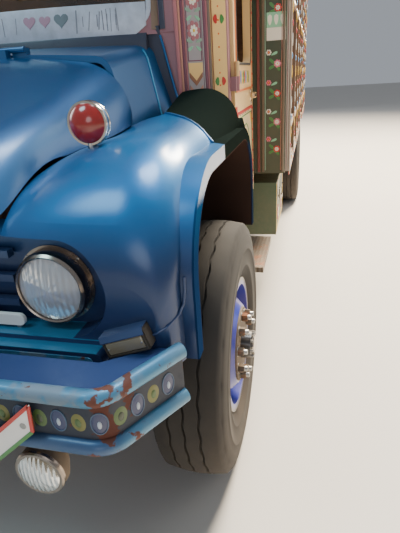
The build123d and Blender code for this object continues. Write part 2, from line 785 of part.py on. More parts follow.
cab_floor = block(-wing_inner_x, wing_inner_x, firewall_y + firewall_wall, wing_rear_y + 2,
                  cab_floor_z, cab_floor_z + cab_floor_wall)
cab_floor += block(-post_x0, post_x0, wing_rear_y + 2, cab_rear_y - cab_rear_wall, cab_floor_z,
                   cab_floor_z + cab_floor_wall)
cab_floor += block(-rail_x + 20, -rail_x + 100, 700, 1100, rail_top, cab_floor_z)
cab_floor += block(rail_x - 100, rail_x - 20, 700, 1100, rail_top, cab_floor_z)
save("cab_floor", cab_floor)

screen_top_z = 2215
screen_corner_y = firewall_y + 30
screen_front_y = screen_corner_y - screen_bow


def screen_plan(z, back, grow):
    """The bowed plan of the windscreen wall at one height, moved back and thickened by grow."""
    front = screen_front_y + back
    corner = screen_corner_y + back
    outer = ThreePointArc((-screen_half_width, corner), (0, front), (screen_half_width, corner))
    inner_corner = corner + grow
    inner = ThreePointArc((screen_half_width, inner_corner), (0, front + grow),
                          (-screen_half_width, inner_corner))
    outline = outer + Line((screen_half_width, corner), (screen_half_width, inner_corner))
    outline += inner + Line((-screen_half_width, inner_corner), (-screen_half_width, corner))
    return Pos(0, 0, z) * make_face(outline)


wall_bottom_z = screen_bottom_z + 16
screen_wall = loft([screen_plan(wall_bottom_z, 0, cab_wall),
                    screen_plan(cab_top_z, screen_rake, cab_wall)], ruled=True)
glass_wall = 6
glass_set = 17
glass_sheet = loft([screen_plan(wall_bottom_z, glass_set, glass_wall),
                    screen_plan(cab_top_z, screen_rake + glass_set, glass_wall)], ruled=True)
opening_bottom_z = wall_bottom_z + 38
opening_height = screen_top_z - opening_bottom_z
opening_length = 2 * screen_half_width - 90
opening_corner = 60
opening_middle_z = opening_bottom_z + opening_height / 2
opening_plane = Plane(origin=(0, 700, opening_middle_z), x_dir=(1, 0, 0), z_dir=(0, -1, 0))
opening = extrude(opening_plane * RectangleRounded(opening_length, opening_height, opening_corner), 900)
pane = RectangleRounded(opening_length - 2, opening_height - 2, opening_corner - 1)
save("windscreen", glass_sheet & extrude(opening_plane * pane, 900))

side_panel = [
    (screen_half_width + 1, screen_corner_y), (screen_half_width + 60, screen_corner_y - 4),
    (post_x1, wing_rear_y + 2), (post_x1, door_front_y - 8), (post_x0, door_front_y - 8),
    (post_x0, wing_rear_y + 28), (screen_half_width + 20, screen_corner_y + 50),
]
upper_panel = upward(side_panel, valley_z + 25, cab_top_z)
upper_panel -= block(0, scuttle_half_width + 1, 0, firewall_y + firewall_wall + 1, 0, scuttle_top_z + 20)
screen_side = [
    (screen_half_width - 30, screen_corner_y), (screen_half_width + 8, screen_corner_y),
    (screen_half_width + 30, screen_corner_y + 40),
    (screen_half_width + 30, screen_corner_y + screen_rake + cab_wall),
    (screen_half_width - 30, screen_corner_y + screen_rake + cab_wall),
]
upper_panel += upward(screen_side, wall_bottom_z, cab_top_z) - block(
    0, screen_half_width, 0, 2000, wall_bottom_z, cab_top_z)
lower_post = block(post_x0, post_x1, wing_rear_y + 2, door_front_y - 8, cab_floor_z - 40, valley_z + 30)
front_post = upper_panel + lower_post
leaf_y0 = door_front_y - 34
hinge_levels = (1080, 1560, 2080)
hinge_half = 30
door_hinge_y = door_front_y - 4
for level in hinge_levels:
    low = level - 3 * hinge_half
    high = level - hinge_half - hinge_gap
    front_post += block(post_x1 - 5, door_hinge_x, leaf_y0, door_front_y - 8, low, high)
    front_post += rod((door_hinge_x, door_hinge_y, low), (door_hinge_x, door_hinge_y, high), hinge_radius)
cab_front = screen_wall - opening
cab_front += front_post + mirror(front_post, Plane.YZ)
save("cab_front", cab_front)

rear_plate = block(-post_x1, post_x1, cab_rear_y - cab_rear_wall, cab_rear_y, cab_floor_z, cab_top_z)
for side in (-1, 1):
    rear_plate += block(side * post_x0, side * post_x1, door_rear_y + shut_gap, cab_rear_y,
                        cab_floor_z, cab_top_z)
save("cab_rear", rear_plate)

roof_plan = [
    (-post_x1 - 30, cab_rear_y), (-post_x1 - 30, 500), (-screen_half_width - 60, screen_corner_y + 20),
    (0, screen_front_y - 60), (screen_half_width + 60, screen_corner_y + 20), (post_x1 + 30, 500),
    (post_x1 + 30, cab_rear_y),
]
save("cab_roof", upward(roof_plan, cab_top_z, cab_top_z + roof_wall))

window_bottom_z = 1590
window_top_z = 2110
door_border = 75
handle_z = 1425
handle_reach = 28


def door():
    """The left door with its window cut and its half of the hinges."""
    outer = door_inner_x + door_wall
    leaf = block(door_inner_x, outer, door_front_y, door_rear_y, door_bottom_z, door_top_z)
    middle = (door_inner_x - 10, (door_front_y + door_rear_y) / 2, (window_bottom_z + window_top_z) / 2)
    window_length = door_rear_y - door_front_y - 2 * door_border
    window = RectangleRounded(window_length, window_top_z - window_bottom_z, 50)
    leaf -= extrude(Plane(origin=middle, x_dir=(0, 1, 0), z_dir=(1, 0, 0)) * window, door_wall + 20)
    for level in hinge_levels:
        low = level - hinge_half
        high = level + hinge_half
        leaf += block(outer - 2, door_hinge_x, door_front_y + 4, door_front_y + 50, low, high)
        leaf += rod((door_hinge_x, door_hinge_y, low), (door_hinge_x, door_hinge_y, high), hinge_radius)
        leaf += block(door_hinge_x - 6, door_hinge_x + 6, door_hinge_y, door_front_y + 6, low, high)
    leaf += block(outer - 1, outer + handle_reach, door_rear_y - 95, door_rear_y - 65,
                  handle_z - 15, handle_z + 15)
    leaf += block(outer + 14, outer + handle_reach, door_rear_y - 150, door_rear_y - 40,
                  handle_z - 11, handle_z + 11)
    return leaf


left_door = door()
save("door_left", left_door)
save("door_right", mirror(left_door, Plane.YZ))

seat_front_y = 790
seat_back_y = cab_rear_y - cab_rear_wall
seat_base_top = 1300
seat_half_width = 820
cushion_height = 130
back_depth = 110
backrest_height = 620
save("seat_base", block(-seat_half_width, seat_half_width, seat_front_y + 40, seat_back_y,
                        cab_floor_z + cab_floor_wall, seat_base_top))
cushion_bottom = seat_base_top + seat_gap
save("seat_cushion", block(-seat_half_width, seat_half_width, seat_front_y, seat_back_y - back_depth - 4,
                           cushion_bottom, seat_base_top + cushion_height))
save("seat_back", block(-seat_half_width, seat_half_width, seat_back_y - back_depth, seat_back_y - seat_gap,
                        cushion_bottom, seat_base_top + backrest_height))

dash_y0 = scuttle_back_y
dash_bottom_z = 1440
dash_top_z = 1680
dash_outline = [(dash_y0, dash_bottom_z), (dash_y0, dash_top_z - 20), (dash_y0 + 60, dash_top_z),
                (dash_y0 + 150, dash_top_z - 80), (dash_y0 + 110, dash_bottom_z)]
dash = across(dash_outline, -690, 690)
driver_x = -380
wheel_place = (driver_x, 640, 1640)
column_foot = (driver_x, dash_y0 + 22, 1360)
column_radius = 22
column_run = (Vector(*wheel_place) - Vector(*column_foot)).normalized()
dash += rod(column_foot, tuple(Vector(*wheel_place) - column_run * (30 + hinge_gap)), column_radius)
dash += block(driver_x - 30, driver_x + 30, dash_y0, dash_y0 + 60, 1340, dash_bottom_z + 10)
save("dashboard", dash)
wheel_plane = Plane(origin=wheel_place, z_dir=column_run)
steering_radius = 215
steering = wheel_plane * Torus(steering_radius, 14)
steering += wheel_plane * Pos(0, 0, -10) * Cylinder(38, 40)
for turn in (90, 210, 330):
    spoke = Pos(steering_radius / 2, 0, -4) * Box(steering_radius, 22, 10)
    steering += wheel_plane * Rot(0, 0, turn) * spoke
save("steering_wheel", steering)

mirror_x = load_half_width - 30
mirror_y = 418
mirror_z = 2010
mirror_half_width = 70
mirror_half_height = 120
mirror_arm_z = mirror_z + mirror_half_height + 40
mirrors = block(mirror_x - mirror_half_width, mirror_x + mirror_half_width, mirror_y - 10, mirror_y + 10,
                mirror_z - mirror_half_height, mirror_z + mirror_half_height)
mirrors += rod((post_x1 - 15, wing_rear_y + 20, mirror_arm_z), (mirror_x, mirror_y + 12, mirror_arm_z), 9)
mirrors += rod((mirror_x, mirror_y + 12, mirror_arm_z), (mirror_x, mirror_y + 6, mirror_z), 9)
save("mirrors", both(mirrors - cab_front))

# Crown over the cab

# Columns: height, half width, front y, side y where the front curve begins
crown_stations = [
    (crown_floor_z, load_half_width - 160, crown_front_low_y, 560),
    (crown_mid_z, load_half_width - 80, crown_front_mid_y, 480),
    (crown_top_z, load_half_width, crown_front_top_y, 420),
]


def crown_section(z, half, front, side_y, wall, back):
    """The crown's plan at one height: straight sides and a bowed front, shrunk by the wall."""
    half = half - wall
    bow = ThreePointArc((-half, side_y), (0, front + wall), (half, side_y))
    outline = bow + Polyline((half, side_y), (half, back), (-half, back), (-half, side_y))
    return Pos(0, 0, z) * make_face(outline)


crown_back_y = load_front_y
crown_outer = loft([crown_section(*row, 0, crown_back_y) for row in crown_stations])
inner_rows = [(z + (crown_wall if z == crown_floor_z else 0), half, front, side_y)
              for z, half, front, side_y in crown_stations]
crown_inner = loft([crown_section(*row, crown_wall, crown_back_y - crown_wall) for row in inner_rows])
crown = crown_outer - crown_inner
crest_half = load_half_width + 110
crest_end_z = crown_top_z - 340
crest_over_z = crown_top_z + 180
crest = Plane(origin=(0, crown_back_y + 130, 0), x_dir=(1, 0, 0), z_dir=(0, -1, 0))
crest_line = ThreePointArc((-crest_half, crest_end_z), (0, crown_top_z), (crest_half, crest_end_z))
crest_outline = crest_line + Polyline((crest_half, crest_end_z), (crest_half, crest_over_z),
                                      (-crest_half, crest_over_z), (-crest_half, crest_end_z))
crown -= extrude(crest * make_face(crest_outline), 2200)
save("crown", crown)

# Load body

deck_bottom = deck_z - deck_wall
bearer_bottom = deck_bottom - bearer_height
deck_front_y = load_front_y + load_wall
load_inner_x = load_half_width - load_wall
save("load_floor", block(-load_inner_x, load_inner_x, deck_front_y, load_rear_y, deck_bottom, deck_z))
bearer_places = [deck_front_y + 60 + index * 600 for index in range(9)]
bearer_parts = [block(-load_inner_x, load_inner_x, place - bearer_width / 2, place + bearer_width / 2,
                      bearer_bottom, deck_bottom) for place in bearer_places]
for side in (-1, 1):
    bearer_parts.append(block(side * (rail_x - rail_flange), side * rail_x, deck_front_y, load_rear_y,
                              rail_top, bearer_bottom - seat_gap))
save("load_bearers", group(*bearer_parts))
tail_board_y = load_rear_y + 45
rear_board = block(-load_half_width, load_half_width, load_rear_y, tail_board_y, skirt_z + 30, deck_z - 35)
tail_hinge_y = load_rear_y + tailgate_wall + 38
tail_hinge_z = deck_z - 10
tail_hinge_half = 40
tail_pin_radius = 12
tail_hinge_places = (-800, 0, 800)
for x in tail_hinge_places:
    near = x + tail_hinge_half + hinge_gap
    far = x + 2 * tail_hinge_half
    rear_board += rod((near, tail_hinge_y, tail_hinge_z), (far, tail_hinge_y, tail_hinge_z),
                      tail_pin_radius)
    rear_board += block(near, far, tail_board_y - 5, tail_hinge_y, deck_z - 60, tail_hinge_z)
save("rear_board", rear_board)

front_wall = block(-load_half_width, load_half_width, load_front_y, deck_front_y, skirt_z, side_top_z)
front_wall -= block(-rail_x - 20, rail_x + 20, load_front_y - 1, deck_front_y + 1, 0, bearer_bottom)
save("load_front_wall", front_wall)

side_front_y = deck_front_y
post_width = 70
post_pitch = (load_rear_y - side_front_y - post_width) / 8
post_places = [side_front_y + post_width / 2 + index * post_pitch for index in range(9)]
rail_levels = [(skirt_z, 60), (deck_z - 30, 60), (1900, 50), (side_top_z - 80, 80)]


def side_wall():
    """The left wall of the load body: panel, posts, rails and the arch over the rear wheels."""
    wall = block(load_inner_x, load_half_width, side_front_y, load_rear_y, skirt_z, side_top_z)
    for place in post_places:
        wall += block(load_half_width, side_outer_x, place - post_width / 2, place + post_width / 2,
                      skirt_z, side_top_z)
    for level, height in rail_levels:
        wall += block(load_half_width, side_outer_x - 6, side_front_y, load_rear_y, level, level + height)
    opening = Pos(1150, wheelbase, axle_z) * Rot(0, 90, 0) * Cylinder(rear_arch_radius, 400)
    return wall - opening


left_wall = side_wall()
save("load_side_left", left_wall)
save("load_side_right", mirror(left_wall, Plane.YZ))

tailgate_half = load_half_width - rear_post_width - shut_gap
tailgate_bottom_z = deck_z + 10
header_height = 260
rear_frame = block(-load_half_width, load_half_width, load_rear_y, load_rear_y + load_wall,
                   side_top_z - header_height, side_top_z)
for side in (-1, 1):
    rear_frame += block(side * (load_half_width - rear_post_width), side * load_half_width, load_rear_y,
                        load_rear_y + load_wall, deck_z - 35, side_top_z)
save("rear_frame", rear_frame)
tailgate_back_y = load_rear_y + 1 + tailgate_wall
tailgate = block(-tailgate_half, tailgate_half, load_rear_y + 1, tailgate_back_y,
                 tailgate_bottom_z, tailgate_top_z)
for x in (-tailgate_half + 60, -tailgate_half / 3, tailgate_half / 3, tailgate_half - 60):
    tailgate += block(x - 35, x + 35, tailgate_back_y, tailgate_back_y + 20,
                      tailgate_bottom_z, tailgate_top_z)
for x in tail_hinge_places:
    near = x - tail_hinge_half
    far = x + tail_hinge_half
    tailgate += rod((near, tail_hinge_y, tail_hinge_z), (far, tail_hinge_y, tail_hinge_z), tail_pin_radius)
    tailgate += block(near, far, tailgate_back_y - 6, tail_hinge_y + 2, tail_hinge_z, tail_hinge_z + 18)
    tailgate += block(near, far, tailgate_back_y - 6, tailgate_back_y + 5,
                      tail_hinge_z + 12, tail_hinge_z + 60)
save("tailgate", tailgate)

flap_y = min(place for place in bearer_places if place > wheelbase + tyre_radius + bearer_width)
flap = block(700, load_inner_x - 5, flap_y - 6, flap_y + 6, 330, bearer_bottom)
save("mud_flaps", both(flap))
tail_lamp = block(900, 1060, tail_board_y, tail_board_y + 45, 1000, 1090)
tail_lamp = fillet(tail_lamp.edges().filter_by(Axis.Y), 20)
save("tail_lamps", both(tail_lamp))
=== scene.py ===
import random
from math import atan2, copysign, cos, dist, hypot, pi, radians, sin, sqrt, tan, tau

import bmesh
import bpy
from mathutils import Matrix, Vector
from mathutils.bvhtree import BVHTree


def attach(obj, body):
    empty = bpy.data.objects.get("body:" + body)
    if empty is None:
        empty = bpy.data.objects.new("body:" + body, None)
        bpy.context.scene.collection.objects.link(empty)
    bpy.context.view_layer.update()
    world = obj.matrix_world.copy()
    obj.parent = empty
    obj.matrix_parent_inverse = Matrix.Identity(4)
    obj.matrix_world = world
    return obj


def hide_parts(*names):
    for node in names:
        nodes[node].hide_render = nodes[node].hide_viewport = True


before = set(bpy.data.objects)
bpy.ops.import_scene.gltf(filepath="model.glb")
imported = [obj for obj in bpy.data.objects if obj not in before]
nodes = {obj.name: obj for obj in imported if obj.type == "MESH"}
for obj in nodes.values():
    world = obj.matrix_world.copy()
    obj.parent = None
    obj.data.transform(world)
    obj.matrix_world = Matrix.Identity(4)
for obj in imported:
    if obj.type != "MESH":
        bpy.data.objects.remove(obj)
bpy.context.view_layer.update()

draw = random.Random(7)

# The middle of the truck's box lies this far behind the front axle, in metres.
AXLE_BACK = 2.7025


def at(x, y, z):
    """A point given from the front axle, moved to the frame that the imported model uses."""
    return Vector((x, y - AXLE_BACK, z))


def surface_of(mesh):
    """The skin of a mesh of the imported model, to be met by rays, in measures from the front axle."""
    points = [vertex.co + Vector((0, AXLE_BACK, 0)) for vertex in mesh.vertices]
    return BVHTree.FromPolygons(points, [tuple(face.vertices) for face in mesh.polygons])


# Camera, close in front of the left corner and looking down, as the photograph was taken

CAMERA_PLACE = (1.343, -1.548, 1.541)
CAMERA_YAW = radians(14.68)
CAMERA_PITCH = radians(23.31)
CAMERA_ROLL = radians(3.72)
FOCAL_PIXELS = 441.4
FRAME_LONG_SIDE = 533
SENSOR = 36.0


def make_camera():
    """The camera, turned left by the yaw, down by the pitch and rolled."""
    level = cos(CAMERA_PITCH)
    forward = Vector((-sin(CAMERA_YAW) * level, cos(CAMERA_YAW) * level, -sin(CAMERA_PITCH)))
    level_right = Vector((cos(CAMERA_YAW), sin(CAMERA_YAW), 0))
    level_up = level_right.cross(forward)
    right = cos(CAMERA_ROLL) * level_right - sin(CAMERA_ROLL) * level_up
    up = sin(CAMERA_ROLL) * level_right + cos(CAMERA_ROLL) * level_up
    data = bpy.data.cameras.new("camera")
    data.sensor_width = SENSOR
    data.lens = FOCAL_PIXELS / FRAME_LONG_SIDE * SENSOR
    data.clip_start = 0.05
    data.clip_end = 100
    camera = bpy.data.objects.new("camera", data)
    bpy.context.scene.collection.objects.link(camera)
    turn = Matrix((right, up, -forward)).transposed().to_4x4()
    camera.matrix_world = Matrix.Translation(at(*CAMERA_PLACE)) @ turn
    bpy.context.scene.camera = camera


make_camera()


def soft_light(name, place, target, size, power, colour=(1, 1, 1)):
    """A soft round light that looks at the target."""
    data = bpy.data.lights.new(name, "AREA")
    data.shape = "DISK"
    data.size = size
    data.energy = power
    data.color = colour
    light = bpy.data.objects.new(name, data)
    light.location = at(*place)
    light.rotation_euler = (Vector(target) - Vector(place)).to_track_quat("-Z", "Y").to_euler()
    bpy.context.scene.collection.objects.link(light)


soft_light("low_sun", (3.4, 9.2, 9.1), (1.0, -0.45, 1.37), 4.2, 8400, (1.0, 0.85, 0.64))
soft_light("high_sky", (1.7, 1.5, 9.0), (0.9, -0.5, 1.35), 3.4, 740, (0.86, 0.95, 1.0))
soft_light("front_sky", (-2.7, -2.9, 7.9), (0.8, -0.6, 1.25), 3.0, 270, (0.5, 0.86, 1.0))
soft_light("front_fill", (1.5, -9.5, 4.0), (0, 0.0, 1.1), 4.0, 110, (0.95, 0.97, 1.0))
soft_light("left_fill", (9.5, 4.5, 5.5), (0, 4.0, 1.6), 6.0, 200, (1.0, 0.95, 0.88))
soft_light("right_fill", (-9.5, 3.5, 5.0), (0, 3.5, 1.5), 6.0, 460)
soft_light("back", (-2.0, 15.0, 6.0), (0, 6.0, 1.5), 6.0, 480)

# Effects shared by the finishes


def add(tree, kind, sockets=(), **settings):
    """A shader node: settings are typed in, and a socket is linked or set."""
    made = tree.nodes.new(kind)
    for key, value in settings.items():
        setattr(made, key, value)
    for key, value in dict(sockets).items():
        if isinstance(value, bpy.types.NodeSocket):
            tree.links.new(value, made.inputs[key])
        else:
            made.inputs[key].default_value = value
    return made


def effect(name, takes, gives):
    """An empty effect group with named sockets, and its two ends."""
    group = bpy.data.node_groups.new(name, "ShaderNodeTree")
    kinds = {"vector": "NodeSocketVector", "value": "NodeSocketFloat"}
    for label, kind, value in takes:
        socket = group.interface.new_socket(name=label, in_out="INPUT", socket_type=kinds[kind])
        if value is not None:
            socket.default_value = value
    for label, kind in gives:
        group.interface.new_socket(name=label, in_out="OUTPUT", socket_type=kinds[kind])
    return group, group.nodes.new("NodeGroupInput").outputs, group.nodes.new("NodeGroupOutput").inputs


def math_of(tree, operation, first, second=0.0, third=0.0, clamp=False):
    """The result of one sum, clamped between 0 and 1 on request."""
    made = add(tree, "ShaderNodeMath", {0: first, 1: second, 2: third}, operation=operation, use_clamp=clamp)
    return made.outputs[0]


def times(tree, first, second, clamp=False):
    """The product of two values."""
    return math_of(tree, "MULTIPLY", first, second, clamp=clamp)


def plus(tree, first, second, clamp=False):
    """The sum of two values."""
    return math_of(tree, "ADD", first, second, clamp=clamp)


def minus(tree, first, second, clamp=False):
    """What is left of a value when another is taken off."""
    return math_of(tree, "SUBTRACT", first, second, clamp=clamp)


def scaled(tree, value, factor, added, clamp=False):
    """A value times a factor, and something added."""
    return math_of(tree, "MULTIPLY_ADD", value, factor, added, clamp)


def larger(tree, first, second, clamp=False):
    """The larger of two values."""
    return math_of(tree, "MAXIMUM", first, second, clamp=clamp)


def unsigned(tree, value):
    """A value without its sign."""
    return math_of(tree, "ABSOLUTE", value)


def wave(tree, value):
    """The sine of a value."""
    return math_of(tree, "SINE", value)


def parts_of(tree, vector):
    """The three coordinates of a point."""
    return add(tree, "ShaderNodeSeparateXYZ", {0: vector}).outputs


def band(tree, value, low, high, to_low=0.0, to_high=1.0):
    """A value carried from one range to another with soft ends."""
    made = add(tree, "ShaderNodeMapRange", {0: value, 1: low, 2: high, 3: to_low, 4: to_high},
               interpolation_type="SMOOTHSTEP")
    return made.outputs[0]


def blend_of(tree, share, first, second, how="MIX"):
    """Two colours mixed by a share."""
    made = add(tree, "ShaderNodeMix", {0: share, 6: first, 7: second}, data_type="RGBA", blend_type=how)
    return made.outputs[2]


def noise(tree, vector, scale, detail=3.0, rough=0.55):
    """Soft random clouds between 0 and 1."""
    sockets = {"Vector": vector, "Scale": scale, "Detail": detail, "Roughness": rough}
    return add(tree, "ShaderNodeTexNoise", sockets).outputs[0]


def build_road_dust():
    """Dust that thickens from a height down to a lower one, in patches."""
    group, takes, gives = effect("road_dust", [("Vector", "vector", None), ("Low", "value", 0.2),
                                               ("High", "value", 1.3), ("Amount", "value", 0.6)], [("Mask", "value")])
    height = parts_of(group, takes["Vector"])[2]
    depth = add(group, "ShaderNodeMapRange", {0: height, 1: takes["High"], 2: takes["Low"], 3: 0.0, 4: 1.0}).outputs[0]
    clouds = noise(group, takes["Vector"], 3.2, 6.0, 0.62)
    fine = noise(group, takes["Vector"], 38.0, 3.0)
    patch = times(group, plus(group, clouds, times(group, fine, 0.35)), 1.05)
    film = times(group, patch, plus(group, depth, 0.12))
    group.links.new(times(group, film, takes["Amount"], clamp=True), gives["Mask"])
    return group


def build_paint_chips():
    """Chips where paint has come away, and the scuffs round them."""
    group, takes, gives = effect("paint_chips", [("Vector", "vector", None), ("Scale", "value", 9.0),
                                                 ("Amount", "value", 0.3)], [("Chips", "value"), ("Scuffs", "value")])
    coarse = noise(group, takes["Vector"], takes["Scale"], 9.0, 0.68)
    edge = minus(group, 0.78, times(group, takes["Amount"], 0.3))
    chips = band(group, coarse, edge, plus(group, edge, 0.03))
    scuffs = band(group, coarse, minus(group, edge, 0.12), edge)
    group.links.new(chips, gives["Chips"])
    group.links.new(scuffs, gives["Scuffs"])
    return group


def build_mottle():
    """Slow change of shade over a surface, as a multiplier about 1."""
    group, takes, gives = effect("mottle", [("Vector", "vector", None), ("Scale", "value", 2.5),
                                            ("Depth", "value", 0.15)], [("Shade", "value"), ("Clouds", "value")])
    clouds = noise(group, takes["Vector"], takes["Scale"], 5.0, 0.6)
    centred = minus(group, clouds, 0.5)
    swing = times(group, centred, times(group, takes["Depth"], 3.0))
    group.links.new(plus(group, swing, 1.0), gives["Shade"])
    group.links.new(clouds, gives["Clouds"])
    return group


def build_timber_grain():
    """Long wood grain along one direction, and its height."""
    group, takes, gives = effect("timber_grain", [("Vector", "vector", None), ("Stretch", "vector", (1.0, 0.08, 1.0)),
                                                  ("Scale", "value", 22.0)], [("Grain", "value"), ("Height", "value")])
    long = add(group, "ShaderNodeVectorMath", {0: takes["Vector"], 1: takes["Stretch"]},
               operation="MULTIPLY").outputs[0]
    fibre = noise(group, long, takes["Scale"], 8.0, 0.7)
    rings = add(group, "ShaderNodeTexWave", {"Vector": long, "Scale": 4.0, "Distortion": 5.0, "Detail": 3.0}).outputs[1]
    grain = plus(group, times(group, fibre, 0.65), times(group, rings, 0.35))
    group.links.new(grain, gives["Grain"])
    group.links.new(fibre, gives["Height"])
    return group


def build_cloth_weave():
    """The over and under of a coarse woven seat cover."""
    group, takes, gives = effect("cloth_weave", [("Vector", "vector", None), ("Threads", "value", 260.0)],
                                 [("Height", "value"), ("Gaps", "value")])
    parts = parts_of(group, takes["Vector"])
    warp = wave(group, times(group, parts[0], takes["Threads"]))
    weft_place = plus(group, parts[1], parts[2])
    weft = wave(group, times(group, weft_place, takes["Threads"]))
    height = times(group, warp, weft)
    group.links.new(height, gives["Height"])
    group.links.new(band(group, height, -0.9, -0.4, 1.0, 0.0), gives["Gaps"])
    return group


road_dust = build_road_dust()
paint_chips = build_paint_chips()
mottle = build_mottle()
timber_grain = build_timber_grain()
cloth_weave = build_cloth_weave()


def grouped(tree, group, vector, **sockets):
    """One use of an effect group, with its sockets set."""
    return add(tree, "ShaderNodeGroup", {"Vector": vector, **sockets}, node_tree=group).outputs


def mottled(tree, slow, colour):
    """A colour under the slow change of shade."""
    shade = add(tree, "ShaderNodeCombineColor", {part: slow["Shade"] for part in range(3)}).outputs[0]
    return blend_of(tree, 1.0, colour, shade, "MULTIPLY")


def lay(tree, shader, colour, rough):
    """The shader given its colour and its roughness."""
    tree.links.new(colour, shader.inputs["Base Color"])
    tree.links.new(rough, shader.inputs["Roughness"])


def emboss(tree, shader, strength, distance, height):
    """The shader given relief."""
    bump = add(tree, "ShaderNodeBump", {"Strength": strength, "Distance": distance, "Height": height})
    tree.links.new(bump.outputs[0], shader.inputs["Normal"])


def tone(red, green, blue):
    """A colour in a painter's 0 to 255 values, turned into the light units that Blender mixes."""
    def part(value):
        share = value / 255
        return ((share + 0.055) / 1.055) ** 2.4 if share > 0.04 else share / 12.92
    return (part(red), part(green), part(blue), 1.0)


DUST = tone(150, 128, 104)
PRIMER = tone(92, 52, 36)
RUST = tone(122, 62, 30)
BARE_STEEL = tone(120, 116, 110)


def start(name):
    """A new finish: its node tree, its shader and the coordinates of the piece."""
    material = bpy.data.materials.new(name)
    material.use_nodes = True
    tree = material.node_tree
    shader = tree.nodes["Principled BSDF"]
    spot = add(tree, "ShaderNodeTexCoord").outputs["Object"]
    return material, tree, shader, spot


def painted(name, colour, metallic=0.0, rough=0.38, coat=0.2, dust=0.6, dust_high=1.3, wear=0.25, under=PRIMER,
            wear_scale=9.0, shade_scale=2.5, shade_depth=0.12, peel=0.04, zones=None, coat_rough=0.12, specular=0.5):
    """Brushed or sprayed paint that has mottled, chipped to what is under it and gathered dust.

    Zones recolours the paint by place, painted shade and painted highlights among it, and gives the share that is dull
    there, or None.
    """
    material, tree, shader, spot = start(name)
    slow = grouped(tree, mottle, spot, Scale=shade_scale, Depth=shade_depth)
    chips = grouped(tree, paint_chips, spot, Scale=wear_scale, Amount=wear)
    film = grouped(tree, road_dust, spot, High=dust_high, Amount=dust)["Mask"]
    chipped = blend_of(tree, chips["Chips"], mottled(tree, slow, colour), under)
    spoiled = larger(tree, film, chips["Chips"])
    dull_share = None
    if zones:
        chipped, dull_share = zones(tree, spot, chipped)
    if dull_share:
        spoiled = larger(tree, spoiled, dull_share)
        film = times(tree, film, scaled(tree, dull_share, -0.85, 1.0))
    tree.links.new(blend_of(tree, film, chipped, DUST), shader.inputs["Base Color"])
    dull = scaled(tree, film, 0.4, scaled(tree, chips["Scuffs"], 0.2, rough))
    if dull_share:
        dull = scaled(tree, dull_share, 0.3, dull)
    tree.links.new(scaled(tree, slow["Clouds"], 0.08, dull, clamp=True), shader.inputs["Roughness"])
    if metallic:
        clean = minus(tree, 1.0, spoiled, clamp=True)
        tree.links.new(times(tree, clean, metallic), shader.inputs["Metallic"])
    if coat:
        gloss = times(tree, minus(tree, 1.0, spoiled, clamp=True), coat)
        tree.links.new(gloss, shader.inputs["Coat Weight"])
        shader.inputs["Coat Roughness"].default_value = coat_rough
    shader.inputs["Specular IOR Level"].default_value = specular
    ripple = noise(tree, spot, 60.0, 2.0)
    height = scaled(tree, chips["Chips"], -1.0, times(tree, ripple, peel))
    emboss(tree, shader, 0.5, 0.002, height)
    return material


PIT_SCALE = 14.0


def metal(name, colour, rough=0.3, tarnish=RUST, tarnish_amount=0.2, dust=0.4, dust_high=1.2, grit=0.3):
    """Bare or plated metal with tarnish or rust in its pits and dust on it."""
    material, tree, shader, spot = start(name)
    slow = grouped(tree, mottle, spot, Scale=PIT_SCALE / 3, Depth=0.15)
    chips = grouped(tree, paint_chips, spot, Scale=PIT_SCALE, Amount=tarnish_amount)
    film = grouped(tree, road_dust, spot, High=dust_high, Amount=dust)["Mask"]
    spoiled = blend_of(tree, chips["Scuffs"], mottled(tree, slow, colour), tarnish)
    tree.links.new(blend_of(tree, film, spoiled, DUST), shader.inputs["Base Color"])
    bad = larger(tree, chips["Scuffs"], film, clamp=True)
    tree.links.new(minus(tree, 1.0, bad, clamp=True), shader.inputs["Metallic"])
    dull = scaled(tree, bad, 0.5, scaled(tree, slow["Clouds"], 0.12, rough))
    tree.links.new(plus(tree, dull, 0.0, clamp=True), shader.inputs["Roughness"])
    pits = plus(tree, noise(tree, spot, 120.0, 4.0), chips["Chips"])
    emboss(tree, shader, grit, 0.001, pits)
    return material


def timber(name, pale, dark, stretch=(1.0, 0.08, 1.0), rough=0.6, varnish=0.0, dust=0.5, dust_high=1.6,
           board_width=0.0):
    """Planed or varnished wood with its grain along the board, and joints between boards of a given width."""
    material, tree, shader, spot = start(name)
    wood = grouped(tree, timber_grain, spot, Stretch=stretch)
    slow = grouped(tree, mottle, spot, Scale=1.8, Depth=0.2)
    film = grouped(tree, road_dust, spot, High=dust_high, Amount=dust)["Mask"]
    figured = blend_of(tree, band(tree, wood["Grain"], 0.3, 0.7), dark, pale)
    toned = mottled(tree, slow, figured)
    height = wood["Height"]
    if board_width:
        along = parts_of(tree, spot)[0]
        share = math_of(tree, "FRACT", math_of(tree, "DIVIDE", along, board_width))
        joint = band(tree, unsigned(tree, minus(tree, share, 0.5)), 0.465, 0.49)
        toned = blend_of(tree, joint, toned, tone(28, 20, 14))
        height = scaled(tree, joint, -4.0, height)
    lay(tree, shader, blend_of(tree, film, toned, DUST), scaled(tree, film, 0.3, rough, clamp=True))
    if varnish:
        shader.inputs["Coat Roughness"].default_value = 0.18
        gloss = times(tree, minus(tree, 1.0, film, clamp=True), varnish)
        tree.links.new(gloss, shader.inputs["Coat Weight"])
    emboss(tree, shader, 0.35, 0.002, height)
    return material


def rubber_like(name, colour, rough=0.72, dust=0.8, dust_high=1.2):
    """Rubber or moulded plastic with fine grain, scuffs and dust."""
    material, tree, shader, spot = start(name)
    slow = grouped(tree, mottle, spot, Scale=6.0, Depth=0.25)
    film = grouped(tree, road_dust, spot, High=dust_high, Amount=dust)["Mask"]
    lay(tree, shader, blend_of(tree, film, mottled(tree, slow, colour), DUST),
        scaled(tree, slow["Clouds"], 0.15, rough, clamp=True))
    emboss(tree, shader, 0.25, 0.001, noise(tree, spot, 70.0, 5.0))
    return material


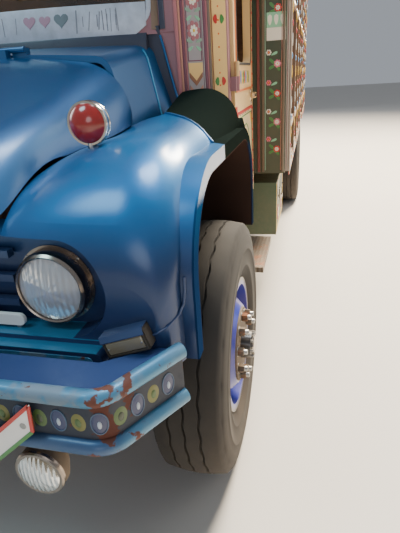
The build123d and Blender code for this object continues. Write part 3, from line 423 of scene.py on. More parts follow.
def lens_glass(name, colour, rough=0.06, flute=0.0, dust=0.2, clear=1.0):
    """Moulded lamp or window glass with light dirt, fluted on request."""
    material, tree, shader, spot = start(name)
    film = grouped(tree, road_dust, spot, High=2.4, Low=0.4, Amount=dust)["Mask"]
    lay(tree, shader, blend_of(tree, film, colour, DUST), scaled(tree, film, 0.5, rough, clamp=True))
    shader.inputs["Transmission Weight"].default_value = clear
    shader.inputs["IOR"].default_value = 1.46
    height = noise(tree, spot, 30.0, 2.0)
    if flute:
        across = parts_of(tree, spot)[0]
        ribs = wave(tree, times(tree, across, tau / flute))
        height = scaled(tree, ribs, 1.0, times(tree, height, 0.3))
    emboss(tree, shader, 0.3 if flute else 0.04, 0.002, height)
    return material


# Finishes

BLUE = tone(8, 94, 150)
# Navy painted as shade on the low front of the blue panels
PAINTED_SHADE_NAVY = tone(10, 34, 78)
# Pale blue painted as the highlight on the nose's two ledges
LEDGE_HIGHLIGHT_BLUE = tone(44, 128, 166)
# Navy painted as shade on the wing's arch lip
LIP_SHADE_NAVY = tone(14, 34, 60)
UNDER_WING = tone(56, 42, 38)
# Dark green-grey painted as shade on the wing's rear part
WING_REAR_SHADE = tone(20, 28, 26)
ARCH_MIDDLE = -0.0775
ARCH_HALF = 0.5225
ARCH_TOP = 1.300
ARCH_CORNER = 0.230


def build_painted_low_shade():
    """The share of navy painted as shade on the low front of the truck."""
    group, takes, gives = effect("painted_low_shade", [("Vector", "vector", None)], [("Low", "value")])
    level = parts_of(group, takes["Vector"])[2]
    group.links.new(band(group, level, 1.12, 1.29, 0.85, 0.0), gives["Low"])
    return group


def build_corner_rust():
    """Rust that creeps over the bumper's bent corners, and the distance from the truck's middle."""
    group, takes, gives = effect("corner_rust", [("Vector", "vector", None)], [("Rust", "value"), ("Side", "value")])
    side = unsigned(group, parts_of(group, takes["Vector"])[0])
    near = times(group, band(group, side, 0.86, 0.95), band(group, side, 0.98, 1.02, 1.0, 0.0))
    patches = plus(group, noise(group, takes["Vector"], 26.0, 6.0), times(group, near, 0.17))
    group.links.new(band(group, patches, 0.66, 0.70), gives["Rust"])
    group.links.new(side, gives["Side"])
    return group


painted_low_shade = build_painted_low_shade()
corner_rust = build_corner_rust()


def painted_shade_below(tree, spot, colour):
    """Blue that deepens to navy on the low front of the truck, painted as shade."""
    low = grouped(tree, painted_low_shade, spot)["Low"]
    return blend_of(tree, low, colour, PAINTED_SHADE_NAVY), None


def nose_zones(tree, spot, colour):
    """The same blue with painted shade low down, and a pale painted highlight at the height of each of the nose's two
    ledges.
    """
    colour = painted_shade_below(tree, spot, colour)[0]
    level = parts_of(tree, spot)[2]
    # Each ledge gets a thin band of pale blue, painted as its highlight.
    for ledge in (0.935, 0.950):
        away = unsigned(tree, minus(tree, level, ledge))
        colour = blend_of(tree, band(tree, away, 0.0012, 0.0022, 0.9, 0.0), colour, LEDGE_HIGHLIGHT_BLUE)
    return colour, None


def wing_zones(tree, spot, colour):
    """Navy painted as shade low down, a dark green-grey rear part painted as shade, dark brown inside the wheel arch,
    and navy painted as shade on the arch lip.
    """
    colour = painted_shade_below(tree, spot, colour)[0]
    parts = parts_of(tree, spot)
    side = unsigned(tree, parts[0])
    back = plus(tree, parts[1], AXLE_BACK)
    # Behind this line the wing is painted dark green-grey as shade.
    rear = band(tree, plus(tree, side, back), 0.892, 0.900)
    off_y = minus(tree, unsigned(tree, minus(tree, back, ARCH_MIDDLE)), ARCH_HALF - ARCH_CORNER)
    off_y = larger(tree, off_y, 0.0)
    off_z = larger(tree, minus(tree, parts[2], ARCH_TOP - ARCH_CORNER), 0.0)
    reach = math_of(tree, "SQRT", plus(tree, times(tree, off_y, off_y), times(tree, off_z, off_z)))
    inside = band(tree, minus(tree, reach, ARCH_CORNER), 0.0015, 0.004, 1.0, 0.0)
    colour = blend_of(tree, inside, blend_of(tree, rear, colour, WING_REAR_SHADE), UNDER_WING)
    # The lip's outer face below its top is painted navy as shade.
    lip_shade = times(tree, band(tree, side, 1.083, 1.086), band(tree, parts[2], 1.25, 1.29, 1.0, 0.0))
    colour = blend_of(tree, times(tree, lip_shade, 0.7), colour, LIP_SHADE_NAVY)
    return colour, larger(tree, larger(tree, rear, inside), lip_shade)


def pipe_zones(tree, spot, colour):
    """Bumper pipes: the long lower run is darker, the corners rusty and rubbed pale."""
    corner = grouped(tree, corner_rust, spot)
    side, rust = corner["Side"], corner["Rust"]
    level = parts_of(tree, spot)[2]
    lower = times(tree, band(tree, level, 0.86, 0.87, 0.85, 0.0), band(tree, side, 0.94, 1.0, 1.0, 0.0))
    colour = blend_of(tree, lower, colour, tone(34, 70, 116))
    rubbed = band(tree, noise(tree, spot, 15.0, 6.0), 0.50, 0.62, 0.0, 0.7)
    rubbed = times(tree, rubbed, minus(tree, 1.0, lower, clamp=True))
    rubbed = times(tree, rubbed, band(tree, side, 0.97, 1.02, 1.0, 0.25))
    colour = blend_of(tree, rubbed, colour, tone(118, 124, 132))
    return blend_of(tree, rust, colour, tone(92, 48, 36)), larger(tree, rust, rubbed)


def face_zones(tree, spot, colour):
    """Bumper face with rust at its corners."""
    rust = grouped(tree, corner_rust, spot)["Rust"]
    return blend_of(tree, rust, colour, tone(84, 44, 34)), rust


BLUE_PAINT = dict(metallic=0.45, rough=0.36, coat=0.8, coat_rough=0.22, dust=0.2, dust_high=1.5, wear=0.08,
                  shade_scale=1.6, shade_depth=0.1, peel=0.02)
cab_blue = painted("cab_blue", BLUE, zones=painted_shade_below, **BLUE_PAINT)
wing_blue = painted("wing_blue", BLUE, zones=wing_zones, specular=0.0, **BLUE_PAINT)
nose_blue = painted("nose_blue", BLUE, zones=nose_zones, specular=0.0, **BLUE_PAINT)
bumper_blue = painted("bumper_blue", tone(26, 60, 112), metallic=0.3, rough=0.42, coat=0.2, dust=0.22, dust_high=1.1,
                      wear=0.3, under=tone(92, 56, 44), wear_scale=7.0)
bumper_edge = painted("bumper_edge", tone(62, 122, 156), metallic=0.4, rough=0.4, coat=0.25, dust=0.22, dust_high=1.1,
                      wear=0.3, under=tone(120, 112, 112), wear_scale=11.0, zones=pipe_zones)
bumper_face = painted("bumper_face", tone(16, 30, 50), rough=0.55, coat=0.05, dust=0.1, dust_high=1.1, wear=0.3,
                      under=tone(60, 40, 36), wear_scale=7.0, zones=face_zones)
plate_white = painted("plate_white", tone(232, 228, 224), rough=0.45, dust=0.3, dust_high=1.1, wear=0.15)
frame_black = painted("frame_black", tone(36, 33, 31), rough=0.6, coat=0.0, dust=0.9, dust_high=1.2,
                      wear=0.45, under=RUST)
cast_iron = metal("cast_iron", tone(74, 72, 70), rough=0.6, tarnish_amount=0.6, dust=0.8, dust_high=1.1, grit=0.6)
spring_steel = metal("spring_steel", tone(84, 78, 74), rough=0.5, tarnish_amount=0.7, dust=0.8)
bright_steel = metal("bright_steel", tone(168, 166, 162), rough=0.28, tarnish_amount=0.15, dust=0.2, dust_high=1.6)
chrome = metal("chrome", tone(214, 206, 196), rough=0.12, tarnish=tone(120, 88, 60), tarnish_amount=0.1, dust=0.16,
               dust_high=1.5, grit=0.06)
lamp_chrome = metal("lamp_chrome", tone(150, 138, 128), rough=0.14, tarnish=tone(110, 74, 50), tarnish_amount=0.3,
                    dust=0.12, dust_high=1.5, grit=0.06)
rust_pipe = metal("rust_pipe", tone(96, 72, 56), rough=0.7, tarnish_amount=0.9, dust=0.7)
tyre_rubber = rubber_like("tyre_rubber", tone(27, 27, 28), rough=0.8, dust=0.15, dust_high=0.9)
black_rubber = rubber_like("black_rubber", tone(24, 23, 23), rough=0.6, dust=0.5)
flap_rubber = rubber_like("flap_rubber", tone(30, 28, 27), rough=0.7, dust=0.9, dust_high=1.3)
black_plastic = rubber_like("black_plastic", tone(22, 22, 24), rough=0.45, dust=0.25, dust_high=1.9)
floor_mat = rubber_like("floor_mat", tone(52, 46, 42), rough=0.8, dust=0.6, dust_high=1.6)
lamp_lens = lens_glass("lamp_lens", tone(214, 218, 226), flute=0.016, clear=0.5)
fog_lens = lens_glass("fog_lens", tone(176, 166, 146), flute=0.012, clear=0.75)
window_glass = lens_glass("window_glass", tone(236, 244, 244), rough=0.03, dust=0.14)
red_lens = painted("red_lens", tone(150, 24, 20), rough=0.16, coat=0.7, dust=0.12, dust_high=1.7, wear=0.02, peel=0.0)
amber_lens = painted("amber_lens", tone(206, 118, 26), rough=0.2, coat=0.6, dust=0.2, wear=0.02)
pale_lens = painted("pale_lens", tone(140, 128, 104), rough=0.3, coat=0.4, dust=0.3, dust_high=1.2, wear=0.05)
cab_mauve = painted("cab_mauve", tone(150, 104, 112), rough=0.45, coat=0.15, dust=0.3, dust_high=1.7, wear=0.22,
                    under=tone(96, 72, 58))
door_cream = painted("door_cream", tone(226, 188, 128), rough=0.42, coat=0.2, dust=0.35, dust_high=1.6, wear=0.25,
                     under=tone(104, 74, 48))
crown_paint = painted("crown_paint", tone(176, 48, 40), rough=0.42, coat=0.25, dust=0.2, dust_high=3.2, wear=0.2,
                      under=tone(110, 80, 54))
body_green = painted("body_green", tone(44, 62, 44), rough=0.5, coat=0.15, dust=0.4, dust_high=1.9, wear=0.3,
                     under=tone(104, 82, 60))
body_brown = painted("body_brown", tone(96, 70, 48), rough=0.5, coat=0.15, dust=0.4, dust_high=1.9, wear=0.3,
                     under=tone(122, 100, 76))
cab_wood = timber("cab_wood", tone(150, 104, 62), tone(88, 56, 32), stretch=(0.1, 1.0, 1.0), varnish=0.3, dust=0.2)
deck_wood = timber("deck_wood", tone(146, 118, 86), tone(84, 64, 44), rough=0.8, dust=0.6, dust_high=1.6,
                   board_width=0.15)
chest_wood = painted("chest_wood", tone(40, 92, 66), rough=0.5, dust=0.7, wear=0.35, under=tone(120, 92, 62))
tank_paint = painted("tank_paint", tone(168, 44, 34), rough=0.4, dust=0.7, wear=0.3, under=BARE_STEEL)
mirror_glass = metal("mirror_glass", tone(226, 230, 232), rough=0.03, tarnish_amount=0.0, dust=0.1, grit=0.0)

ENAMEL = {
    "red": tone(190, 34, 30), "pink": tone(214, 112, 138), "orange": tone(222, 110, 34), "yellow": tone(232, 186, 44),
    "leaf": tone(56, 128, 58), "mint": tone(132, 196, 158), "teal": tone(20, 118, 122), "sky": tone(84, 156, 206),
    "navy": tone(26, 44, 110), "white": tone(232, 228, 216), "cream": tone(236, 210, 158),
    "gold": tone(206, 158, 62),
}
paint_box = {}
for shade_name, shade_colour in ENAMEL.items():
    shiny = 0.6 if shade_name == "gold" else 0.0
    paint_box[shade_name] = painted("enamel_" + shade_name, shade_colour, metallic=shiny, rough=0.36, coat=0.3,
                                    dust=0.28, dust_high=1.7, wear=0.2, under=tone(110, 84, 60), wear_scale=16.0)


def wheel_enamel(name, axle_y):
    """Royal blue rim paint over a dark greasy hub, told apart by the distance from the axle."""
    material, tree, shader, spot = start(name)
    parts = parts_of(tree, spot)
    back = minus(tree, parts[1], axle_y - AXLE_BACK)
    rise = minus(tree, parts[2], WHEEL_HEIGHT)
    reach = math_of(tree, "SQRT", plus(tree, times(tree, back, back), times(tree, rise, rise)))
    chips = grouped(tree, paint_chips, spot, Scale=13.0, Amount=0.35)
    slow = grouped(tree, mottle, spot, Scale=5.0, Depth=0.2)
    ragged = scaled(tree, slow["Clouds"], 0.02, reach)
    outside = band(tree, ragged, 0.155, 0.17)
    edge = band(tree, ragged, 0.268, 0.276)
    blue = mottled(tree, slow, tone(24, 40, 150))
    body = blend_of(tree, outside, tone(40, 36, 36), blue)
    body = blend_of(tree, edge, body, tone(52, 46, 44))
    body = blend_of(tree, chips["Chips"], body, RUST)
    film = times(tree, band(tree, slow["Clouds"], 0.35, 0.75), 0.3)
    lay(tree, shader, blend_of(tree, film, body, DUST), scaled(tree, film, 0.5, 0.34, clamp=True))
    shader.inputs["Coat Weight"].default_value = 0.3
    emboss(tree, shader, 0.3, 0.001, chips["Chips"])
    return material


def checker_plate(name):
    """Tread plate with raised crossing bars for the steps."""
    material, tree, shader, spot = start(name)
    parts = parts_of(tree, spot)
    first = wave(tree, times(tree, plus(tree, parts[0], parts[1]), 150.0))
    second = wave(tree, times(tree, minus(tree, parts[0], parts[1]), 150.0))
    bars = band(tree, times(tree, first, second), 0.35, 0.6)
    chips = grouped(tree, paint_chips, spot, Scale=10.0, Amount=0.5)
    film = grouped(tree, road_dust, spot, High=1.2, Amount=0.7)["Mask"]
    worn = blend_of(tree, bars, tone(72, 68, 64), BARE_STEEL)
    lay(tree, shader, blend_of(tree, film, blend_of(tree, chips["Scuffs"], worn, RUST), DUST),
        scaled(tree, film, 0.4, 0.42, clamp=True))
    tree.links.new(minus(tree, 0.8, film, clamp=True), shader.inputs["Metallic"])
    emboss(tree, shader, 0.8, 0.003, bars)
    return material


def cooling_fins(name):
    """The fine upright fins of the radiator core."""
    material, tree, shader, spot = start(name)
    parts = parts_of(tree, spot)
    fins = wave(tree, times(tree, parts[0], 900.0))
    tubes = wave(tree, times(tree, parts[2], 420.0))
    height = plus(tree, fins, times(tree, tubes, 0.6))
    clouds = noise(tree, spot, 9.0)
    lay(tree, shader, blend_of(tree, band(tree, clouds, 0.4, 0.65), tone(40, 36, 32), tone(104, 88, 62)),
        scaled(tree, clouds, 0.2, 0.5))
    shader.inputs["Metallic"].default_value = 0.6
    emboss(tree, shader, 0.7, 0.002, height)
    return material


def seat_cloth(name, colour, stripe):
    """Striped woven seat cover, faded and a little soiled."""
    material, tree, shader, spot = start(name)
    weave = grouped(tree, cloth_weave, spot, Threads=900.0)
    slow = grouped(tree, mottle, spot, Scale=5.0, Depth=0.18)
    across = parts_of(tree, spot)[0]
    bands = band(tree, wave(tree, times(tree, across, 60.0)), 0.55, 0.7)
    cloth = mottled(tree, slow, blend_of(tree, bands, colour, stripe))
    gaps = times(tree, weave["Gaps"], 0.5)
    lay(tree, shader, blend_of(tree, gaps, cloth, tone(30, 22, 20)),
        scaled(tree, slow["Clouds"], 0.1, 0.82, clamp=True))
    shader.inputs["Sheen Weight"].default_value = 0.25
    emboss(tree, shader, 0.35, 0.001, weave["Height"])
    return material


WHEEL_HEIGHT = 0.51
WHEELBASE = 4.24
front_rim = wheel_enamel("front_rim", 0.0)
rear_rim = wheel_enamel("rear_rim", WHEELBASE)
step_plate = checker_plate("step_plate")
radiator_core = cooling_fins("radiator_core")
seat_cover = seat_cloth("seat_cover", tone(40, 48, 88), tone(126, 100, 62))

NODE_FINISHES = (
    (front_rim, "front_wheel_left front_wheel_right"),
    (rear_rim, "rear_wheels_left rear_wheels_right"),
    (frame_black, "chassis_frame rear_bar"),
    (cast_iron, "engine_block propeller_shaft front_axle rear_axle knuckle_left knuckle_right"),
    (radiator_core, "radiator"),
    (spring_steel, "springs tie_rod"),
    (tank_paint, "fuel_tank"),
    (chest_wood, "tool_chest"),
    (rust_pipe, "exhaust"),
    (step_plate, "steps"),
    (bumper_blue, "front_bumper"),
    (plate_white, "number_plate"),
    (wing_blue, "wing_left wing_right"),
    (nose_blue, "nose_panel"),
    (cab_blue, "grille_bars bonnet scuttle"),
    (lamp_chrome, "headlamps"),
    (floor_mat, "cab_floor"),
    (window_glass, "windscreen"),
    (cab_mauve, "cab_front"),
    (cab_wood, "cab_rear cab_roof seat_base dashboard"),
    (door_cream, "door_left door_right"),
    (black_plastic, "steering_wheel mirrors"),
    (crown_paint, "crown"),
    (deck_wood, "load_floor load_bearers"),
    (body_green, "load_front_wall rear_frame rear_board"),
    (body_brown, "load_side_left load_side_right tailgate"),
    (flap_rubber, "mud_flaps"),
    (red_lens, "tail_lamps"),
    (black_rubber, "indicator_lamps fog_lamps"),
)
for finish, names in NODE_FINISHES:
    for node in names.split():
        nodes[node].data.materials.clear()
        nodes[node].data.materials.append(finish)

# Making pieces

SIDES = (("left", 1), ("right", -1))
CORNERS = ((1, 1), (-1, 1), (-1, -1), (1, -1))
FORWARD = (0, -1, 0)
UPWARD = (0, 0, 1)


def turns(count, first=0.0):
    """Equally spaced angles round a circle."""
    return [first + tau * step / count for step in range(count)]


def spaced(first, last, count):
    """Evenly spaced numbers, ends included."""
    return [first + (last - first) * step / (count - 1) for step in range(count)]


def run(u0, v0, u1, v1, count):
    """Evenly spaced points on a line, ends included."""
    return list(zip(spaced(u0, u1, count), spaced(v0, v1, count)))


def half_turn(first, steps):
    """Equally spaced angles over half a circle, both ends included."""
    return spaced(first, first + pi, steps + 1)


class Work:
    """One piece in the making: its points, its faces and the finish of each face."""

    def __init__(self, *finishes):
        self.finishes = list(finishes)
        self.points = []
        self.faces = []
        self.paints = []

    def add(self, points, faces, finish):
        """Points from the front axle, and faces that count from the first. A paint may be given by its name."""
        finish = paint_box.get(finish, finish)
        if finish not in self.finishes:
            self.finishes.append(finish)
        base = len(self.points)
        self.points += [Vector(point) for point in points]
        self.faces += [tuple(base + index for index in face) for face in faces]
        self.paints += [self.finishes.index(finish)] * len(faces)

    def rings(self, rings, finish, closed=False):
        """A skin over rings of equally many points."""
        count = len(rings[0])
        points = [point for ring in rings for point in ring]
        faces = []
        spans = len(rings) if closed else len(rings) - 1
        for row in range(spans):
            here = row * count
            there = (row + 1) % len(rings) * count
            for index in range(count):
                after = (index + 1) % count
                faces.append((here + index, here + after, there + after, there + index))
        if not closed:
            faces.append(tuple(reversed(range(count))))
            faces.append(tuple(range(len(points) - count, len(points))))
        self.add(points, faces, finish)

    def tube(self, path, radius, finish, sides=10):
        """A round bar that follows a path."""
        path = [Vector(point) for point in path]
        rings = []
        side = None
        for index, point in enumerate(path):
            before = path[index - 1] if index else point
            after = path[index + 1] if index < len(path) - 1 else point
            along = (after - before).normalized()
            if side is None:
                side = along.orthogonal().normalized()
            side = (side - along * side.dot(along)).normalized()
            other = along.cross(side)
            rings.append([point + radius * (cos(turn) * side + sin(turn) * other) for turn in turns(sides)])
        self.rings(rings, finish)

    def turned(self, profile, centre, axis, finish, sides=32, start_turn=0.0):
        """A turned shape from (along, radius) points, from its back to its front."""
        axis = Vector(axis).normalized()
        side = axis.orthogonal().normalized()
        other = axis.cross(side)
        rings = [[Vector(centre) + axis * along + radius * (cos(turn) * side + sin(turn) * other)
                  for turn in turns(sides, start_turn)] for along, radius in profile]
        self.rings(rings, finish)

    def block(self, low, high, finish, bevel=0.004):
        """A box between two corners with its edges taken off."""
        low, high = Vector(low), Vector(high)
        middle, half = (low + high) / 2, (high - low) / 2
        bevel = min(bevel, 0.45 * min(half) * 2)
        rings = []
        for height, inset in ((-1, 1), (-1, 0), (1, 0), (1, 1)):
            z = middle.z + height * (half.z - (0 if inset else bevel))
            x, y = half.x - inset * bevel, half.y - inset * bevel
            ring = []
            for sx, sy in CORNERS:
                first = (middle.x + sx * x, middle.y + sy * (y - bevel), z)
                second = (middle.x + sx * (x - bevel), middle.y + sy * y, z)
                ring += [first, second] if sx * sy > 0 else [second, first]
            rings.append(ring)
        self.rings(rings, finish)

    def finish(self, name, slot, body="chassis", soften=40):
        """The finished object, riding on a body, with its soft edges shaded round."""
        mesh = bpy.data.meshes.new(name)
        mesh.from_pydata([at(*point) for point in self.points], [], self.faces)
        for paint in self.finishes:
            mesh.materials.append(paint)
        mesh.polygons.foreach_set("material_index", self.paints)
        shade_round(mesh, soften)
        made = bpy.data.objects.new(name, mesh)
        bpy.context.scene.collection.objects.link(made)
        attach(made, body)
        return made


def shade_round(mesh, angle):
    """Round shading, with edges sharper than the angle kept crisp."""
    form = bmesh.new()
    form.from_mesh(mesh)
    limit = radians(angle)
    for face in form.faces:
        face.smooth = True
    for edge in form.edges:
        edge.smooth = len(edge.link_faces) != 2 or edge.calc_face_angle() < limit
    form.to_mesh(mesh)
    form.free()


# Tyres

TYRE_RADIUS = 0.51
RIB_EDGES = (-0.105, -0.0565, -0.0475, -0.0045, 0.0045, 0.0475, 0.0565, 0.105)
SIDEWALL = ((0.1105, 0.4915), (0.1165, 0.484), (0.118, 0.468), (0.1205, 0.464), (0.1245, 0.448), (0.128, 0.425),
            (0.129, 0.402), (0.1302, 0.399), (0.1302, 0.393), (0.1288, 0.39), (0.127, 0.366), (0.1225, 0.335),
            (0.1242, 0.331), (0.1232, 0.324), (0.118, 0.312), (0.108, 0.288), (0.0985, 0.2785), (0.0967, 0.2587))
TYRE_STEPS = 132
ZIGZAG = 0.0032
GROOVE_DEPTH = 0.012


def tyre_profile():
    """Points across the tyre as (offset, radius, follows the zigzag), from one bead to the other."""
    half = [(offset, radius, 0) for offset, radius in SIDEWALL]
    tread = []
    for index, edge in enumerate(RIB_EDGES):
        top = TYRE_RADIUS - 0.012 * (edge / 0.105) ** 2
        outer = index in (0, len(RIB_EDGES) - 1)
        tread.append((edge, top, 0 if outer else 1))
        if not outer and index % 2 == 1:
            tread += [(edge + 0.0016, top - GROOVE_DEPTH, 1), (edge + 0.0074, top - GROOVE_DEPTH, 1)]
    left = [(-offset, radius, zig) for offset, radius, zig in reversed(half)]
    return left + tread + half


def lay_tyre(work, x, y):
    """One tyre with its zigzag ribs, moulded rings and notched shoulders."""
    profile = tyre_profile()
    rings = []
    for step, turn in enumerate(turns(TYRE_STEPS)):
        zig = ZIGZAG * (1, 0, -1, 0)[step % 4]
        notch = 0.0035 if step % 6 == 0 else 0.0
        ring = []
        for offset, radius, follows in profile:
            if 0.478 < radius < 0.4925 or 0.4640 < radius < 0.47:
                radius -= notch
            ring.append((x + offset + zig * follows, y + radius * cos(turn), WHEEL_HEIGHT + radius * sin(turn)))
        rings.append(ring)
    count = len(profile)
    points = [point for ring in rings for point in ring]
    faces = []
    for step in range(TYRE_STEPS):
        here = step * count
        there = (step + 1) % TYRE_STEPS * count
        faces += [(here + index, there + index, there + index + 1, here + index + 1) for index in range(count - 1)]
        faces.append((here + count - 1, there + count - 1, there, here))
    work.add(points, faces, tyre_rubber)


FRONT_WHEEL_X = 0.98
TWIN_INNER_X = 0.79
TWIN_OUTER_X = 1.08
for side_name, side in SIDES:
    front = Work(tyre_rubber)
    lay_tyre(front, side * FRONT_WHEEL_X, 0.0)
    made = front.finish("ribbed_tyre_front_" + side_name, "tyre", "wheel_front_" + side_name[0], 50)
    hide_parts("front_tyre_" + side_name)
    rear = Work(tyre_rubber)
    lay_tyre(rear, side * TWIN_INNER_X, WHEELBASE)
    lay_tyre(rear, side * TWIN_OUTER_X, WHEELBASE)
    made = rear.finish("ribbed_tyres_rear_" + side_name, "tyre", "wheels_rear_" + side_name[0], 50)
    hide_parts("rear_tyres_" + side_name)

# Wheel nuts and hub plates

NUT_COUNT = 10


def wheel_nuts(work, x, y, side, ring_radius, hub_radius):
    """Studs and six-sided nuts on the disc round the hub, with a ring under them."""
    out = (side, 0, 0)
    work.turned([(0.0, hub_radius), (0.0, ring_radius + 0.028), (0.006, ring_radius + 0.026), (0.006, hub_radius)],
                (x, y, WHEEL_HEIGHT), out, frame_black, 40)
    for turn in turns(NUT_COUNT, pi / NUT_COUNT):
        spot = (x, y + ring_radius * cos(turn), WHEEL_HEIGHT + ring_radius * sin(turn))
        work.turned([(0.004, 0.020), (0.008, 0.020)], spot, out, bright_steel, 16)
        work.turned([(0.007, 0.0165), (0.009, 0.0185), (0.027, 0.0185), (0.031, 0.0155)], spot, out, cast_iron, 6, turn)
        work.turned([(0.028, 0.0105), (0.042, 0.0105), (0.045, 0.008)], spot, out, bright_steel, 12)


FRONT_DISC_X = FRONT_WHEEL_X + 0.112
REAR_DISC_X = TWIN_OUTER_X - 0.106
REAR_HUB_X = TWIN_OUTER_X + 0.073
CAP_BOLTS_RADIUS = 0.050
SHAFT_BOLTS_RADIUS = 0.045
for side_name, side in SIDES:
    out = (side, 0, 0)
    nuts = Work(frame_black, bright_steel, cast_iron)
    wheel_nuts(nuts, side * FRONT_DISC_X, 0.0, side, 0.125, 0.09)
    hub = (side * FRONT_DISC_X, 0.0, WHEEL_HEIGHT)
    nuts.turned([(0.050, 0.040), (0.058, 0.040), (0.062, 0.030), (0.066, 0.012)], hub, out, chrome, 6)
    for turn in turns(8):
        spot = (hub[0], CAP_BOLTS_RADIUS * cos(turn), WHEEL_HEIGHT + CAP_BOLTS_RADIUS * sin(turn))
        nuts.turned([(0.042, 0.006), (0.056, 0.006), (0.058, 0.004)], spot, out, bright_steel, 6)
    nuts.finish("front_wheel_nuts_" + side_name, "steel", "wheel_front_" + side_name[0])
    nuts = Work(frame_black, bright_steel, cast_iron)
    wheel_nuts(nuts, side * REAR_DISC_X, WHEELBASE, side, 0.135, 0.112)
    for turn in turns(8):
        back, rise = SHAFT_BOLTS_RADIUS * cos(turn), SHAFT_BOLTS_RADIUS * sin(turn)
        spot = (side * REAR_HUB_X, WHEELBASE + back, WHEEL_HEIGHT + rise)
        nuts.turned([(0.0, 0.008), (0.012, 0.008), (0.014, 0.005)], spot, out, bright_steel, 6)
    nuts.finish("rear_wheel_nuts_" + side_name, "steel", "wheels_rear_" + side_name[0])

# Ornament


# The way that u runs along a face, by the side that the face is seen from
FROM_FRONT = (1, 0, 0)
FROM_REAR = (-1, 0, 0)
FROM_LEFT = (0, 1, 0)
FROM_RIGHT = (0, -1, 0)


class Ground:
    """Where ornament stands on a piece. Called with u along it, v up it and h out from it, it gives the point."""

    def __init__(self, work, place):
        self.work = work
        self.place = place

    def __call__(self, u, v, h):
        return self.place(u, v, h)


def flat(work, origin, along, up=UPWARD):
    """A flat ground for ornament."""
    origin, along, up = Vector(origin), Vector(along).normalized(), Vector(up).normalized()
    out = along.cross(up)
    return Ground(work, lambda u, v, h: origin + along * u + up * v + out * h)


def upon(work, node, origin, along, up=UPWARD, reach=0.6):
    """A ground that follows the surface of a curved node, seen from in front of it."""
    surface = surface_of(nodes[node].data)
    level = flat(work, origin, along, up)
    out = level(0, 0, 1) - level(0, 0, 0)

    def place(u, v, h):
        found = surface.ray_cast(level(u, v, reach), -out, 2 * reach)[0]
        return (found if found is not None else level(u, v, 0)) + out * h

    return Ground(work, place)


def relief(ground, outline, finish, high=0.003, ease=0.0012):
    """A raised motif with eased edges, from its outline run anticlockwise."""
    count = len(outline)
    middle = (sum(u for u, v in outline) / count, sum(v for u, v in outline) / count)
    size = max(dist(middle, point) for point in outline)
    keep = 1 - min(0.4, ease / size)
    inner = [(middle[0] + (u - middle[0]) * keep, middle[1] + (v - middle[1]) * keep) for u, v in outline]
    ground.work.rings([[ground(u, v, -0.001) for u, v in outline], [ground(u, v, high * 0.6) for u, v in outline],
                       [ground(u, v, high) for u, v in inner]], finish)


def ribbon(ground, path, width, finish, high=0.003, closed=False):
    """A raised strip along a path of (u, v) points, mitred at its bends."""
    rings = []
    count = len(path)
    for index, (u, v) in enumerate(path):
        before = path[index - 1] if index or closed else (u, v)
        after = path[(index + 1) % count] if index < count - 1 or closed else (u, v)
        first = Vector((u - before[0], v - before[1]))
        second = Vector((after[0] - u, after[1] - v))
        first = first.normalized() if first.length > 1e-9 else second.normalized()
        second = second.normalized() if second.length > 1e-9 else first
        along = (first + second).normalized()
        half = width / 2 / max(0.4, first.dot(along))
        left = (-along.y * half, along.x * half)
        rings.append([ground(u + left[0], v + left[1], -0.001), ground(u + left[0], v + left[1], high * 0.7),
                      ground(u + left[0] * 0.7, v + left[1] * 0.7, high),
                      ground(u - left[0] * 0.7, v - left[1] * 0.7, high), ground(u - left[0], v - left[1], high * 0.7),
                      ground(u - left[0], v - left[1], -0.001)])
    ground.work.rings(rings, finish, closed)


def dome(ground, u, v, half_u, half_v, finish, high=0.004, sides=12):
    """A low boss, round or oval."""
    rings = []
    for share, rise in ((1, -0.25), (1, 0.35), (0.8, 0.8), (0.4, 1)):
        rings.append([ground(u + share * half_u * cos(turn), v + share * half_v * sin(turn), high * rise)
                      for turn in turns(sides)])
    ground.work.rings(rings, finish)


def hoop(ground, u, v, half_u, half_v, width, finish, high=0.003, sides=20):
    """A raised ring, round or oval."""
    path = [(u + half_u * cos(turn), v + half_v * sin(turn)) for turn in turns(sides)]
    ribbon(ground, path, width, finish, high, closed=True)


def frame_line(ground, u0, v0, u1, v1, width, finish, high=0.003, steps=1):
    """A raised line round a rectangle."""
    corners = [(u0, v0), (u1, v0), (u1, v1), (u0, v1)]
    path = []
    for index, (u, v) in enumerate(corners):
        after = corners[(index + 1) % 4]
        for step in range(steps):
            share = step / steps
            path.append((u + (after[0] - u) * share, v + (after[1] - v) * share))
    ribbon(ground, path, width, finish, high, closed=True)


def leaf(u, v, turn, length, width, points=10):
    """The outline of a leaf or petal from its foot, in the direction of the turn."""
    outline = []
    for angle in turns(points):
        along = (1 - cos(angle)) / 2 * length
        across = -sin(angle) * width / 2 * (0.55 + 0.9 * along / length)
        outline.append((u + along * cos(turn) - across * sin(turn), v + along * sin(turn) + across * cos(turn)))
    return outline


def flower(ground, u, v, radius, petal, inner, heart, petals=8, squash=1.0):
    """A round flower of two rows of petals and a raised heart."""
    pressed = Ground(ground.work, lambda pu, pv, h: ground(pu, v + (pv - v) * squash, h))
    for index, turn in enumerate(turns(petals)):
        relief(pressed, leaf(u, v, turn, radius, radius * 4.2 / petals), petal, 0.0030 + 0.0005 * (index % 2))
    for index, turn in enumerate(turns(petals, pi / petals)):
        relief(pressed, leaf(u, v, turn, radius * 0.6, radius * 2.4 / petals, 8), inner, 0.0046 + 0.0004 * (index % 2))
    dome(pressed, u, v, radius * 0.2, radius * 0.2, heart, 0.007)


